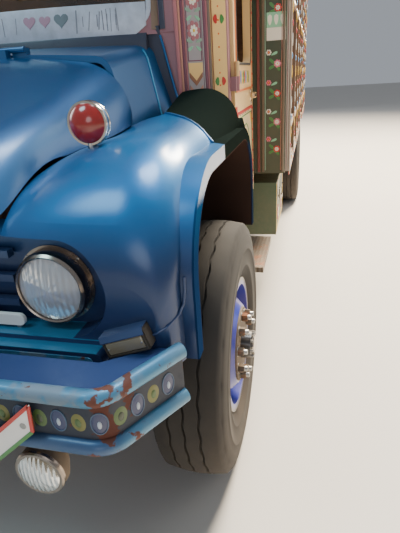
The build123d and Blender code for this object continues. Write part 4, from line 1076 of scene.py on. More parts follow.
def spray(ground, u, v, turn, size, stem, bud):
    """A curved stem with paired leaves and a bud at its tip."""
    path = []
    for step in range(7):
        share = step / 6
        bend = turn + 0.5 * sin(pi * share)
        path.append((u + size * share * cos(bend), v + size * share * sin(bend)))
    ribbon(ground, path, size * 0.035, stem, 0.0022)
    for step in (2, 4):
        for side in (-1, 1):
            relief(ground, leaf(*path[step], turn + side * 0.9, size * 0.34, size * 0.14, 8), stem, 0.0028)
    tip = path[-1]
    relief(ground, leaf(tip[0], tip[1], turn, size * 0.28, size * 0.2, 8), bud, 0.0034)
    dome(ground, tip[0], tip[1], size * 0.05, size * 0.05, bud, 0.004, 8)


def heart_outline(u, v, size):
    """The outline of a heart, point down."""
    outline = []
    for step in range(20):
        turn = pi / 2 + tau * (step + 0.5) / 20
        across = -copysign(abs(sin(turn - pi / 2)) ** 3, sin(turn - pi / 2))
        angle = turn - pi / 2
        rise = (13 * cos(angle) - 5 * cos(2 * angle) - 2 * cos(3 * angle) - cos(4 * angle)) / 16
        outline.append((u + size * across, v + size * rise))
    return outline


def scallops(ground, u0, u1, v, drop, finishes, count):
    """A row of round tongues that hang from a line."""
    step = (u1 - u0) / count
    for index in range(count):
        middle = u0 + step * (index + 0.5)
        outline = [(middle + step * 0.46 * cos(turn), v + drop * sin(turn)) for turn in half_turn(pi, 8)]
        relief(ground, outline, finishes[index % len(finishes)])


def lozenges(ground, u0, u1, v, height, finishes, count, high=0.003):
    """A row of diamonds along a line."""
    step = (u1 - u0) / count
    for index in range(count):
        u = u0 + step * (index + 0.5)
        relief(ground, [(u - step * 0.46, v), (u, v - height / 2), (u + step * 0.46, v), (u, v + height / 2)],
               finishes[index % len(finishes)], high)


def studs(ground, path, radius, finishes, high=0.003, sides=8):
    """Small bosses at the points of a path."""
    for index, (u, v) in enumerate(path):
        dome(ground, u, v, radius, radius, finishes[index % len(finishes)], high, sides)


def board(ground, u0, v0, u1, v1, finish, high=0.0015):
    """A thin painted backing that other ornament stands on."""
    relief(ground, [(u0, v0), (u1, v0), (u1, v1), (u0, v1)], finish, high, 0.0006)


def painted_panel(ground, u0, v0, u1, v1, scheme, count=8):
    """A framed panel: backing, double border, studs, corner fans, a medallion and sprays."""
    back, border, line, petal, inner, heart = scheme
    width, height = u1 - u0, v1 - v0
    board(ground, u0, v0, u1, v1, back)
    frame_line(ground, u0 + 0.010, v0 + 0.010, u1 - 0.010, v1 - 0.010, 0.016, border, 0.0042)
    frame_line(ground, u0 + 0.034, v0 + 0.034, u1 - 0.034, v1 - 0.034, 0.006, line, 0.0034)
    gap = 0.022
    across, rise = max(4, round(width / 0.06)), max(3, round(height / 0.06))
    for v in (v0 + gap, v1 - gap):
        studs(ground, run(u0 + gap, v, u1 - gap, v, across), 0.0045, [heart, line], 0.0035, 6)
    for u in (u0 + gap, u1 - gap):
        studs(ground, run(u, v0 + gap, u, v1 - gap, rise)[1:-1], 0.0045, [heart, line], 0.0035, 6)
    middle_u, middle_v = (u0 + u1) / 2, (v0 + v1) / 2
    radius = min(width, height) * 0.27
    hoop(ground, middle_u, middle_v, radius * 1.22, radius * 1.22, 0.006, line, 0.0034, 28)
    flower(ground, middle_u, middle_v, radius, petal, inner, heart, count)
    for su, sv in CORNERS:
        corner = (middle_u + su * (width / 2 - 0.042), middle_v + sv * (height / 2 - 0.042))
        away = atan2(-sv, -su)
        for spread in (-0.55, 0.0, 0.55):
            relief(ground, leaf(corner[0], corner[1], away + spread, radius * 0.42, radius * 0.17, 8), inner, 0.0032)
        dome(ground, corner[0], corner[1], radius * 0.08, radius * 0.08, heart, 0.004, 8)
    if height > width * 1.3:
        for sv in (1, -1):
            foot = middle_v + sv * radius * 1.32
            size = (height / 2 - 0.05 - radius * 1.32) * 0.72
            for lean in (-0.5, 0.5):
                spray(ground, middle_u, foot, sv * pi / 2 + lean, size, "leaf", petal)
    elif width > height * 1.3:
        for su in (1, -1):
            foot = middle_u + su * radius * 1.32
            size = (width / 2 - 0.05 - radius * 1.32) * 0.72
            for lean in (-0.45, 0.45):
                spray(ground, foot, middle_v, (0 if su > 0 else pi) + lean, size, "leaf", petal)


# Bumper: rolled edges, dark face and a row of eyes

BUMPER_FRONT = -0.900
BUMPER_CORNER = 0.945
BUMPER_END = (1.060, -0.700)
BUMPER_BEND = 0.070
BUMPER_LOW = 0.812
BUMPER_HIGH = 0.943
PIPE_RADIUS = 0.0204
FACE_MIDDLE = 0.8775
FACE_WIDTH = 0.088
EYE_MIDDLE = 0.877


def bumper_line():
    """The bumper's outer line in plan, from its right end to its left end, with round corners."""
    run_x, run_y = BUMPER_END[0] - BUMPER_CORNER, BUMPER_END[1] - BUMPER_FRONT
    length = hypot(run_x, run_y)
    turn = atan2(run_y, run_x)
    cut = BUMPER_BEND * tan(turn / 2)
    left = []
    for step in range(13):
        angle = turn * step / 12
        left.append((BUMPER_CORNER - cut + BUMPER_BEND * sin(angle), BUMPER_FRONT + BUMPER_BEND * (1 - cos(angle))))
    start_x, start_y = BUMPER_CORNER + run_x / length * cut, BUMPER_FRONT + run_y / length * cut
    for step in range(1, 7):
        share = step / 6
        left.append((start_x + (BUMPER_END[0] - start_x) * share, start_y + (BUMPER_END[1] - start_y) * share))
    return [(-x, y) for x, y in reversed(left)] + left


def along_line(work, line):
    """A ground that runs along a line in plan: u along it from its middle, v the height, h outwards."""
    lengths = [0.0]
    for before, after in zip(line, line[1:]):
        lengths.append(lengths[-1] + dist(before, after))
    middle = lengths[-1] / 2

    def place(u, v, h):
        want = min(max(u + middle, 0.0), lengths[-1])
        index = 0
        while index < len(lengths) - 2 and lengths[index + 1] < want:
            index += 1
        share = (want - lengths[index]) / (lengths[index + 1] - lengths[index])
        first, second = line[index], line[index + 1]
        along = Vector((second[0] - first[0], second[1] - first[1], 0)).normalized()
        spot = Vector((first[0] + (second[0] - first[0]) * share, first[1] + (second[1] - first[1]) * share, v))
        return spot + Vector((along.y, -along.x, 0)) * h

    return Ground(work, place), lengths


outer_line = bumper_line()
trim = Work(bumper_edge, bumper_face)
bumper_place, bumper_lengths = along_line(trim, outer_line)
bumper_half = bumper_lengths[-1] / 2
for level in (BUMPER_LOW, BUMPER_HIGH):
    trim.tube([(x, y, level) for x, y in outer_line], PIPE_RADIUS, bumper_edge, 28)
face_stops = [length - bumper_half for length in bumper_lengths]
ribbon(bumper_place, [(stop, FACE_MIDDLE) for stop in face_stops], FACE_WIDTH, bumper_face, 0.0025)
EYE_PITCH = 0.0465
EYE_TONES = {"eye_navy": tone(26, 46, 92), "eye_rim": tone(52, 84, 116), "eye_white": tone(176, 186, 200),
             "eye_green": tone(62, 92, 40), "eye_olive": tone(104, 104, 40), "eye_moss": tone(40, 60, 40)}
for shade_name, shade_colour in EYE_TONES.items():
    paint_box[shade_name] = painted(shade_name, shade_colour, rough=0.4, coat=0.2, dust=0.3, dust_high=1.1, wear=0.35,
                                    wear_scale=20.0, under=tone(70, 52, 44))
eye_count = int((bumper_half - 0.03) / EYE_PITCH)
for index in range(-eye_count, eye_count + 1):
    u = index * EYE_PITCH
    if index % 2 == 0:
        dome(bumper_place, u, EYE_MIDDLE, 0.0195, 0.030, "eye_navy", 0.0042, 16)
        hoop(bumper_place, u, EYE_MIDDLE, 0.0180, 0.0285, 0.0028, "eye_rim", 0.0044, 18)
        dome(bumper_place, u, 0.874, 0.0052, 0.0115, "eye_white", 0.0072, 12)
    else:
        first, second = ("eye_green", "eye_moss") if index % 4 == 1 else ("eye_olive", "eye_green")
        dome(bumper_place, u, EYE_MIDDLE, 0.0195, 0.027, first, 0.0042, 16)
        dome(bumper_place, u, EYE_MIDDLE, 0.0090, 0.014, second, 0.0062, 12)
trim.finish("bumper_trim", "bumper_paint")

# Number plate: blank, with a red and green edge

PLATE_MIDDLE = (0.675, -0.922, 0.793)
PLATE_SLOPE = radians(42)
PLATE_HALF_LENGTH = 0.15
PLATE_RUN = PLATE_HALF_LENGTH * cos(PLATE_SLOPE)
PLATE_RISE = PLATE_HALF_LENGTH * sin(PLATE_SLOPE)
PLATE_HALF = 0.037
PLATE_LEAN = 0.003
EDGE_INSET = 0.965
plate = Work(plate_white)
plate_place = flat(plate, PLATE_MIDDLE, FROM_FRONT)
plate_corners = [(-PLATE_RUN - PLATE_LEAN, -PLATE_RISE - PLATE_HALF), (PLATE_RUN - PLATE_LEAN, PLATE_RISE - PLATE_HALF),
                 (PLATE_RUN + PLATE_LEAN, PLATE_RISE + PLATE_HALF), (-PLATE_RUN + PLATE_LEAN, -PLATE_RISE + PLATE_HALF)]
plate.rings([[plate_place(u, v, h) for u, v in plate_corners] for h in (0.0, 0.0012)], plate_white)
for first, second, edge in ((0, 1, "leaf"), (1, 2, "red"), (2, 3, "red"), (3, 0, "leaf")):
    path = [(u * EDGE_INSET, v * EDGE_INSET) for u, v in (plate_corners[first], plate_corners[second])]
    ribbon(plate_place, path, 0.009, edge, 0.0028)
for u, v in ((-0.07, -0.066), (0.085, 0.075)):
    plate.turned([(0.0, 0.008), (0.0022, 0.008), (0.0029, 0.005)], plate_place(u, v, 0), FORWARD, bright_steel, 12)
plate.block((0.735, -0.9225, 0.850), (0.775, -0.9, 0.885), frame_black, 0.003)
made = plate.finish("number_plate_sheet", "plate_paint", soften=30)
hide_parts("number_plate")

# Headlamps: fluted lens, bulb and its holder

HEADLAMP_SPOT = (0.712, -0.620, 1.065)
LENS_RADIUS = 0.0865
LENS_SIDES = 96
LENS_FACE = -0.0393
LENS_BACK = -0.0345
FLUTE_PITCH = 0.0125


def lens_skin(centre):
    """The rings of a bowed and fluted lens, from the middle of its face over the edge to the middle of its back."""
    rings = []
    for share in (0.04, 0.15, 0.3, 0.45, 0.6, 0.75, 0.87, 0.96, 1.0):
        ring = []
        for turn in turns(LENS_SIDES):
            x, z = LENS_RADIUS * share * cos(turn), LENS_RADIUS * share * sin(turn)
            bow = 0.0145 * (1 - share ** 2)
            flute = 0.0008 * sin(tau * x / FLUTE_PITCH) * min(1.0, 4 * (1 - share))
            ring.append(centre + Vector((x, LENS_FACE - bow - flute, z)))
        rings.append(ring)
    for share in (1.0, 0.96, 0.75, 0.5, 0.25, 0.04):
        rings.append([centre + Vector((LENS_RADIUS * share * cos(turn), LENS_BACK - 0.011 * (1 - share ** 2),
                                       LENS_RADIUS * share * sin(turn))) for turn in turns(LENS_SIDES)])
    return rings


for side_name, side in SIDES:
    centre = Vector((side * HEADLAMP_SPOT[0], HEADLAMP_SPOT[1], HEADLAMP_SPOT[2]))
    lens = Work(lamp_lens)
    lens.rings(lens_skin(centre), lamp_lens)
    made = lens.finish("headlamp_lens_" + side_name, "lamp_glass", soften=60)
    if side > 0:
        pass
    else:
        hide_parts("headlamp_lenses")
    bulb = Work(chrome, plate_white)
    bulb.turned([(-0.064, 0.022), (-0.05, 0.024), (-0.046, 0.02), (-0.044, 0.012)], centre, FORWARD, chrome, 20)
    bulb.turned([(-0.046, 0.008), (-0.03, 0.0095), (-0.008, 0.0095), (0.0, 0.006), (0.002, 0.002)], centre, FORWARD,
                pale_lens, 16)
    for turn in turns(4, pi / 4):
        spot = centre + Vector((0.1032 * cos(turn), 0, 0.1032 * sin(turn)))
        bulb.turned([(0.0035, 0.0042), (0.0058, 0.004), (0.0065, 0.0022)], spot, FORWARD, bright_steel, 10)
    bulb.finish("headlamp_bulb_" + side_name, "chrome")

# Indicator lamps: ribbed pale lens under a blue lid

for side_name, side in SIDES:
    slope = radians(19)
    along = (cos(slope), 0, side * sin(slope))
    up = (-side * sin(slope), 0, cos(slope))
    lamp = Work(pale_lens, cab_blue)
    spot = flat(lamp, (side * 0.935, -0.734, 0.971), along, up)
    sections = []
    for step, u in enumerate(spaced(-0.050, 0.050, 31)):
        rib = 0.0008 if step % 2 else 0.0
        edge = 0.7 if step in (0, 30) else 1.0
        sections.append([spot(u, v, h * edge + (rib if h > 0.003 else 0))
                         for v, h in ((-0.020, -0.002), (-0.020, 0.002), (-0.015, 0.0045), (0.009, 0.0045),
                                      (0.012, 0.002), (0.012, -0.002))])
    lamp.rings([list(reversed(section)) for section in sections], pale_lens)
    frame_line(spot, -0.054, -0.024, 0.054, 0.015, 0.005, black_rubber, 0.0035)
    lid = [spot(u, v, h) for u, v, h in ((-0.060, 0.016, 0.006), (0.060, 0.016, 0.006), (0.060, 0.0315, 0.002),
                                         (0.060, 0.0315, -0.034), (-0.060, 0.0315, -0.034), (-0.060, 0.0315, 0.002))]
    lid_low = [spot(u, v, h) for u, v, h in ((-0.060, 0.014, 0.006), (0.060, 0.014, 0.006), (0.060, 0.0292, 0.001),
                                             (0.060, 0.0292, -0.034), (-0.060, 0.0292, -0.034),
                                             (-0.060, 0.0292, 0.001))]
    lamp.rings([lid_low, lid], cab_blue)
    for u in (-0.046, 0.046):
        lamp.turned([(0.0, 0.0032), (0.0055, 0.0032), (0.0065, 0.0018)], spot(u, -0.004, 0), FORWARD, bright_steel, 8)
    lamp.finish("indicator_lens_" + side_name, "indicator_lens")

# Wing lamps: red lens in a chrome ring on a short stem

for side_name, side in SIDES:
    centre = (side * 0.758, -0.400, 1.442)
    lamp = Work(chrome, red_lens, cab_blue)
    lamp.turned([(0.0385, 0.006), (0.034, 0.026), (0.024, 0.043), (0.0135, 0.052), (0.009, 0.0545), (-0.009, 0.0545),
                 (-0.0135, 0.052), (-0.024, 0.043), (-0.034, 0.026), (-0.0385, 0.006)][::-1], centre,
                FORWARD, red_lens, 36)
    for start_along, end_along in ((0.006, 0.0135), (-0.0135, -0.006)):
        lamp.turned([(start_along, 0.050), (start_along, 0.0575), ((start_along + end_along) / 2, 0.0588),
                     (end_along, 0.0575), (end_along, 0.050)], centre, FORWARD, chrome, 36)
    lamp.turned([(-0.006, 0.050), (-0.006, 0.056), (0.006, 0.056), (0.006, 0.050)], centre, FORWARD, cab_blue, 36)
    foot = upon(lamp, "wing_" + side_name, (centre[0], centre[1], 1.30), (side, 0, 0), (0, -side, 0), 0.3)
    base = foot(0, 0, 0)
    lamp.turned([(-0.002, 0.024), (0.004, 0.024), (0.009, 0.014), (0.013, 0.010)], base, UPWARD, chrome, 20)
    lamp.turned([(0.0, 0.009), (centre[2] - 0.055 - base.z, 0.009)], base, UPWARD, chrome, 16)
    lamp.turned([(centre[2] - 0.066 - base.z, 0.013), (centre[2] - 0.052 - base.z, 0.015)], base, UPWARD, chrome, 16)
    made = lamp.finish("wing_lamp_" + side_name, "chrome")
    if side > 0:
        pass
    else:
        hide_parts("wing_lamps")

# Fog lamps: pressed shell, ring, lens and bracket

FOG_LENS_RADIUS = 0.060
for side_name, side in SIDES:
    centre = (side * 0.720, -0.850, 0.660)
    lamp = Work(frame_black, lamp_chrome, fog_lens, pale_lens)
    lamp.turned([(-0.052, 0.010), (-0.040, 0.050), (-0.012, 0.066), (0.016, 0.067), (0.018, 0.062), (-0.010, 0.060),
                 (-0.034, 0.046), (-0.044, 0.010)], centre, FORWARD, frame_black, 40)
    lamp.turned([(0.012, 0.0605), (0.012, 0.0675), (0.020, 0.068), (0.024, 0.064), (0.024, 0.0605)], centre, FORWARD,
                lamp_chrome, 40)
    lamp.turned([(-0.0395, 0.012), (-0.034, 0.035), (-0.010, 0.057), (0.008, 0.0595), (0.009, 0.058), (-0.008, 0.055),
                 (-0.031, 0.034), (-0.036, 0.012)], centre, FORWARD, lamp_chrome, 36)
    rings = []
    for share, high in ((1.0, 0.014), (1.0, 0.022), (0.85, 0.027), (0.6, 0.031), (0.3, 0.0335), (0.05, 0.034)):
        ring = []
        for turn in turns(48):
            flute = 0.0006 * sin(tau * share * sin(turn) * 5)
            across, rise = FOG_LENS_RADIUS * share * sin(turn) * side, FOG_LENS_RADIUS * share * cos(turn)
            ring.append(Vector(centre) + Vector((across, -high - flute, rise)))
        rings.append(ring)
    if side < 0:
        rings = [list(reversed(ring)) for ring in rings]
    lamp.rings(rings, fog_lens)
    lamp.turned([(-0.034, 0.009), (-0.012, 0.010), (-0.004, 0.005)], centre, FORWARD, pale_lens, 14)
    lamp.turned([(0.0, 0.011), (0.088, 0.011)], (centre[0], -0.838, 0.718), UPWARD, frame_black, 14)
    lamp.turned([(-0.002, 0.017), (0.010, 0.017), (0.014, 0.011)], (centre[0], -0.838, 0.722), UPWARD, frame_black, 6)
    made = lamp.finish("fog_lamp_" + side_name, "lamp_glass", soften=35)
    if side > 0:
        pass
    else:
        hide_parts("fog_lamps")

# Nose: a pale blue strip painted as a highlight along the lower ledge, and a blank cream plate on the ledge

nose_trim = Work(cab_blue)
nose_place = flat(nose_trim, (0, -0.735, 0), FROM_FRONT)


def slot_path(half, low, high):
    """The line of a long slot with round ends, anticlockwise."""
    radius = (high - low) / 2
    middle = (high + low) / 2
    path = [(half - radius + radius * cos(turn), middle + radius * sin(turn)) for turn in half_turn(-pi / 2, 10)]
    return path + [(-u, 2 * middle - v) for u, v in path]


# The pale blue strip is a painted highlight along the ledge.
relief(nose_place, slot_path(0.842, 0.8985, 0.9225), bumper_edge, 0.0028)
board(nose_place, -0.16, 0.903, 0.16, 0.918, "cream", 0.0042)
nose_trim.finish("nose_ledge_strips", "blue_paint")

# Beads along the wing's crease, across its rear joint and down the cowl, the cowl's bead painted pale as a highlight

# Pale blue painted as the highlight along the cowl's bead
cowl_highlight_blue = painted("cowl_highlight_blue", tone(58, 140, 182), metallic=0.5, rough=0.34, coat=0.3, dust=0.2, dust_high=1.5)
CREASE = ((0.975, 0.976), (1.004, 0.984), (1.030, 1.000), (1.050, 1.018), (1.060, 1.040), (1.0655, 1.075),
          (1.066, 1.11))
REAR_JOINT_X = (0.80, 0.83, 0.86, 0.89, 0.92, 0.95, 0.98, 1.005, 1.025, 1.045)
REAR_JOINT_REACH = 0.896
COWL_EDGE = ((0.300, 1.650), (0.294, 1.622), (0.290, 1.589), (0.280, 1.537), (0.270, 1.481), (0.262, 1.430),
             (0.256, 1.385))
COWL_CORNER = ((0.742, 1.700), (0.752, 1.660), (0.762, 1.610), (0.776, 1.548), (0.790, 1.486), (0.806, 1.420))
for side_name, side in SIDES:
    bead = Work(wing_blue, cab_blue, cowl_highlight_blue)
    wing_front = upon(bead, "wing_" + side_name, (0, -1.2, 0), FROM_FRONT, reach=0.9)
    bead.tube([wing_front(side * x, z, 0.0015) for x, z in CREASE], 0.0040, wing_blue, 8)
    above = upon(bead, "wing_" + side_name, (0, 0, 2.0), (side, 0, 0), (0, side, 0), 1.2)
    bead.tube([above(x, side * (REAR_JOINT_REACH - x), 0.001) for x in REAR_JOINT_X], 0.0045, cab_blue, 8)
    cowl = upon(bead, "scuttle", (side * 1.4, 0, 0), (0, side, 0), reach=1.2)
    bead.tube([cowl(side * y, z, 0.001) for y, z in COWL_EDGE], 0.0042, cowl_highlight_blue, 8)
    bead.tube([Vector((side * x, 0.3535, z)) for x, z in COWL_CORNER], 0.0052, cab_blue, 8)
    bead.finish("blue_beads_" + side_name, "blue_paint")

badge = Work(plate_white)
for side_name, side in SIDES:
    spot = flat(badge, (side * 0.545, -0.664, 0.974), FROM_FRONT)
    outline = [(sign * 0.062 + 0.017 * cos(turn), 0.017 * sin(turn)) for sign in (1, -1)
               for turn in half_turn(-sign * pi / 2, 8)]
    badge.rings([[spot(u, v, h) for u, v in outline] for h in (-0.004, 0.006)] +
                [[spot(u * 0.985, v * 0.93, 0.0075) for u, v in outline]], plate_white)
    for u in (-0.055, 0.055):
        badge.block((side * 0.545 + u - 0.006, -0.668, 0.9495), (side * 0.545 + u + 0.006, -0.660, 0.958),
                    bright_steel, 0.001)
badge.finish("ledge_badges", "plate_paint")

# Windscreen: painted band with hearts, sill, painted surround and wipers

SCREEN_HALF = 0.740
SCREEN_BOW = 0.130
SCREEN_FRONT = 0.230
SCREEN_LOW = 1.706
SCREEN_RISE = 0.624
SCREEN_RAKE = 0.110
SCREEN_CURVE = (SCREEN_HALF ** 2 + SCREEN_BOW ** 2) / (2 * SCREEN_BOW)
OPENING_LOW = 1.744
OPENING_HIGH = 2.215
OPENING_HALF = 0.695
OPENING_CORNER = 0.060


def screen_place(u, v, h):
    """A point on the bowed and raked wall that holds the windscreen."""
    bow = SCREEN_CURVE - sqrt(max(0.0, SCREEN_CURVE ** 2 - u * u))
    back = SCREEN_RAKE * (v - SCREEN_LOW) / SCREEN_RISE
    return Vector((u, SCREEN_FRONT + bow + back - h, v))


def rounded(u0, v0, u1, v1, radius, steps=6, stops=1):
    """A rectangle with round corners, anticlockwise, with stops along its long sides."""
    path = []
    for middle_u, middle_v, first in ((u1 - radius, v0 + radius, -0.5), (u1 - radius, v1 - radius, 0.0),
                                      (u0 + radius, v1 - radius, 0.5), (u0 + radius, v0 + radius, 1.0)):
        corner = [(middle_u + radius * cos(turn), middle_v + radius * sin(turn))
                  for turn in (pi * (first + 0.5 * step / steps) for step in range(steps + 1))]
        if path:
            path += run(*path[-1], *corner[0], stops + 1)[1:-1]
        path += corner
    return path + run(*path[-1], *path[0], stops + 1)[1:-1]


panel_wear = dict(rough=0.42, coat=0.2, dust=0.25, dust_high=1.8, wear=0.3, under=tone(112, 84, 68), wear_scale=18.0)
PANEL_TONES = {
    "lavender": tone(158, 152, 156), "rose": tone(168, 104, 112), "plum": tone(112, 62, 84),
    "salmon": tone(186, 130, 112), "rust_brown": tone(142, 92, 66), "grey_brown": tone(112, 98, 88),
    "pillar_navy": tone(40, 48, 70), "pale_post": tone(196, 178, 164),
    "cream_gold": tone(232, 192, 122), "tan": tone(128, 104, 84), "dark_red": tone(116, 46, 44),
    "wall_brown": tone(104, 88, 70), "soft_green": tone(134, 166, 146),
}
for shade_name, shade_colour in PANEL_TONES.items():
    paint_box[shade_name] = painted("panel_" + shade_name, shade_colour, **panel_wear)

band_paint = painted("screen_band", tone(184, 192, 208), rough=0.4, coat=0.3, dust=0.15, dust_high=1.9, wear=0.2,
                     under=tone(120, 122, 132), wear_scale=20.0, shade_scale=16.0, shade_depth=0.3)
heart_pink = painted("heart_pink", tone(176, 140, 162), rough=0.4, wear=0.3, wear_scale=30.0, under=tone(184, 192, 208))
heart_grey = painted("heart_grey", tone(104, 124, 134), rough=0.4, wear=0.2, wear_scale=30.0, under=tone(184, 192, 208))
wisp_grey = painted("wisp_grey", tone(128, 134, 148), rough=0.4, wear=0.3, wear_scale=30.0, under=tone(184, 192, 208))
screen = Work(band_paint, black_rubber)
BAND_LOW = 1.709
BAND_HIGH = 1.822
BAND_THICK = 0.0065
stops = spaced(-0.690, 0.690, 37)
rings = []
for u in stops:
    lift = 0.03 * max(0.0, (abs(u) - 0.655) / 0.035) ** 2
    low = BAND_LOW + min(0.03, lift)
    rings.append([screen_place(u, low, -0.001), screen_place(u, BAND_HIGH, -0.001), screen_place(u, BAND_HIGH, 0.006),
                  screen_place(u, BAND_HIGH - 0.002, 0.007), screen_place(u, low + 0.002, 0.007),
                  screen_place(u, low, 0.006)])
screen.rings(rings, band_paint)
screen_wall = Ground(screen, screen_place)
on_band = Ground(screen, lambda u, v, h: screen_place(u, v, h + BAND_THICK))
for u, finish, size in ((0.236, heart_pink, 0.026), (0.300, heart_pink, 0.024), (0.366, heart_grey, 0.029)):
    for side in (-1, 1):
        relief(on_band, heart_outline(side * u, 1.776, size), finish, 0.0028)
for index in range(34):
    u = draw.uniform(0.03, 0.66)
    if 0.19 < u < 0.41:
        continue
    length, lean = draw.uniform(0.035, 0.085), draw.uniform(-0.12, 0.12)
    for side in (-1, 1):
        foot = (side * u, 1.765 - length / 2)
        ribbon(on_band, [foot, (foot[0] + side * lean * length, foot[1] + length)], draw.uniform(0.002, 0.005),
               wisp_grey, 0.0014)
sill = []
for u in stops:
    sill.append([screen_place(u, 1.650, -0.030), screen_place(u, 1.712, -0.030), screen_place(u, 1.712, 0.005),
                 screen_place(u, 1.706, 0.008), screen_place(u, 1.650, 0.010)])
screen.rings(sill, "pillar_navy")
ribbon(screen_wall, rounded(-OPENING_HALF - 0.006, OPENING_LOW - 0.006, OPENING_HALF + 0.006, OPENING_HIGH + 0.006,
                            OPENING_CORNER + 0.006, 8, 14), 0.018, band_paint, 0.005, closed=True)
for u in spaced(-0.66, 0.66, 13):
    relief(screen_wall, leaf(u, 2.245, pi / 2, 0.05, 0.03, 8), "red", 0.003)
    dome(screen_wall, u + 0.027, 2.262, 0.008, 0.008, "yellow", 0.004, 8)
ribbon(screen_wall, [(u, 2.312) for u in stops], 0.014, "teal", 0.003)
screen.finish("windscreen_band", "plate_paint")

PIVOT_LEVEL = 2.240
ARM_LENGTH = 0.26
BLADE_HALF = 0.17
wipers = Work(black_plastic, bright_steel)
for foot_u, turn in ((0.36, -2.2), (-0.30, -2.2)):
    pivot = screen_place(foot_u, PIVOT_LEVEL, 0.010)
    wipers.turned([(-0.012, 0.013), (0.004, 0.013), (0.012, 0.009)], pivot, FORWARD, bright_steel, 16)
    arm = [pivot + Vector((0, -0.010, 0))]
    for share in (0.35, 0.7, 1.0):
        arm.append(screen_place(foot_u + ARM_LENGTH * share * cos(turn), PIVOT_LEVEL + ARM_LENGTH * share * sin(turn),
                                0.016))
    wipers.tube(arm, 0.0038, black_plastic, 8)
    tip_u, tip_v = foot_u + ARM_LENGTH * cos(turn), PIVOT_LEVEL + ARM_LENGTH * sin(turn)
    blade = [screen_place(tip_u + BLADE_HALF * share * cos(turn + 0.5), tip_v + BLADE_HALF * share * sin(turn + 0.5),
                          -0.010) for share in (-1, -0.6, -0.2, 0.2, 0.6, 1)]
    wipers.tube(blade, 0.0045, black_plastic, 6)
    wipers.tube([point + Vector((0, -0.012, 0.002)) for point in blade[1:-1]], 0.0025, bright_steel, 6)
    wipers.tube([blade[2] + Vector((0, -0.012, 0.002)), arm[-1], blade[3] + Vector((0, -0.012, 0.002))], 0.003,
                bright_steel, 6)
wipers.finish("wipers", "rubber")

# Cab front: pillar strip, striped and framed panel, cream edge


def other_side(work):
    """The same work on the truck's other side."""
    made = Work(*work.finishes)
    made.points = [Vector((-point.x, point.y, point.z)) for point in work.points]
    made.faces = [tuple(reversed(face)) for face in work.faces]
    made.paints = list(work.paints)
    return made


def on_both_sides(work, name, bodies, slot, soften=40):
    """The left piece and its mirror image, each on its own body."""
    right = other_side(work)
    work.finish(name + "_left", slot, bodies[0], soften)
    right.finish(name + "_right", slot, bodies[1], soften)


FIXED = ("chassis", "chassis")
PANEL_FOOT = (0.80, 0.356, 0.0)
PANEL_RUN = (0.793, 0.609, 0.0)
PANEL_LOW = 1.372
PANEL_HIGH = 2.322
cab = Work(cab_mauve)
slant = flat(cab, PANEL_FOOT, PANEL_RUN)
for u, width, shade_name, high in ((0.010, 0.014, "rose", 0.004), (0.024, 0.009, "salmon", 0.003),
                                   (0.035, 0.008, "plum", 0.0035), (0.045, 0.006, "rose", 0.003),
                                   (0.124, 0.005, "lavender", 0.003), (0.133, 0.009, "plum", 0.0035),
                                   (0.1435, 0.007, "rose", 0.003), (0.1535, 0.010, "grey_brown", 0.0035)):
    ribbon(slant, [(u, PANEL_LOW), (u, PANEL_HIGH)], width, shade_name, high)
board(slant, 0.051, 1.40, 0.119, 2.31, "lavender")
board(slant, 0.161, PANEL_LOW, 0.232, PANEL_HIGH, "cream_gold", 0.002)
for level in (2.24, 2.10, 1.96, 1.82, 1.71):
    flower(slant, 0.085, level, 0.030, "rose", "white", "yellow", 7, 1.25)
    for side in (-1, 1):
        relief(slant, leaf(0.085 + side * 0.006, level - 0.044, pi * (0.5 - side * 0.36), 0.032, 0.013, 8),
               "soft_green", 0.003)
        relief(slant, leaf(0.085 + side * 0.006, level - 0.056, -pi * (0.5 - side * 0.30), 0.030, 0.012, 8),
               "mint", 0.003)
frame_line(slant, 0.055, 1.60, 0.115, 2.30, 0.004, "plum", 0.0028)
relief(slant, [(0.053, 1.592), (0.117, 1.592), (0.117, 1.555), (0.085, 1.515), (0.053, 1.555)], "cream_gold", 0.003)
for level, shade_name in ((1.545, "rust_brown"), (1.495, "salmon"), (1.445, "plum")):
    relief(slant, [(0.055, level - 0.008), (0.085, level - 0.042), (0.115, level - 0.008), (0.115, level + 0.012),
                   (0.085, level - 0.022), (0.055, level + 0.012)], shade_name, 0.0032)
for level in spaced(1.40, 2.29, 19):
    dome(slant, 0.1965, level, 0.0045, 0.0045, "orange", 0.004, 8)
for level, first, second in ((1.515, "leaf", "red"), (1.75, "red", "leaf"), (2.0, "leaf", "red"), (2.2, "red", "leaf")):
    relief(slant, leaf(0.172, level, 0, 0.020, 0.034, 8), first, 0.0042)
    relief(slant, leaf(0.224, level, pi, 0.020, 0.034, 8), second, 0.0042)
ribbon(slant, [(0.166, PANEL_LOW), (0.166, PANEL_HIGH)], 0.005, "rust_brown", 0.0045)
pillar = upon(cab, "cab_front", (0, -0.6, 0), FROM_FRONT, reach=1.5)
levels = spaced(1.722, 2.317, 11)
ribbon(pillar, [(0.752, level) for level in levels], 0.026, "pillar_navy", 0.004)
ribbon(pillar, [(0.722, level) for level in levels[:-1]], 0.026, "tan", 0.002)
cowl_face = flat(cab, (0, 0.361, 0), FROM_FRONT)
relief(cowl_face, [(0.712, 1.42), (0.798, 1.42), (0.784, 1.486), (0.768, 1.548), (0.755, 1.610), (0.746, 1.660),
                   (0.738, 1.735), (0.690, 1.735), (0.690, 1.640)], "pillar_navy", 0.004)
post = flat(cab, (0.930, 0.502, 0), FROM_FRONT)
board(post, 0.003, 0.895, 0.057, 1.362, "cream_gold", 0.002)
relief(post, [(0.006, 1.345), (0.020, 1.215), (0.054, 1.345)], "red", 0.0045)
relief(post, [(0.010, 1.19), (0.030, 1.06), (0.050, 1.19)], "navy", 0.0045)
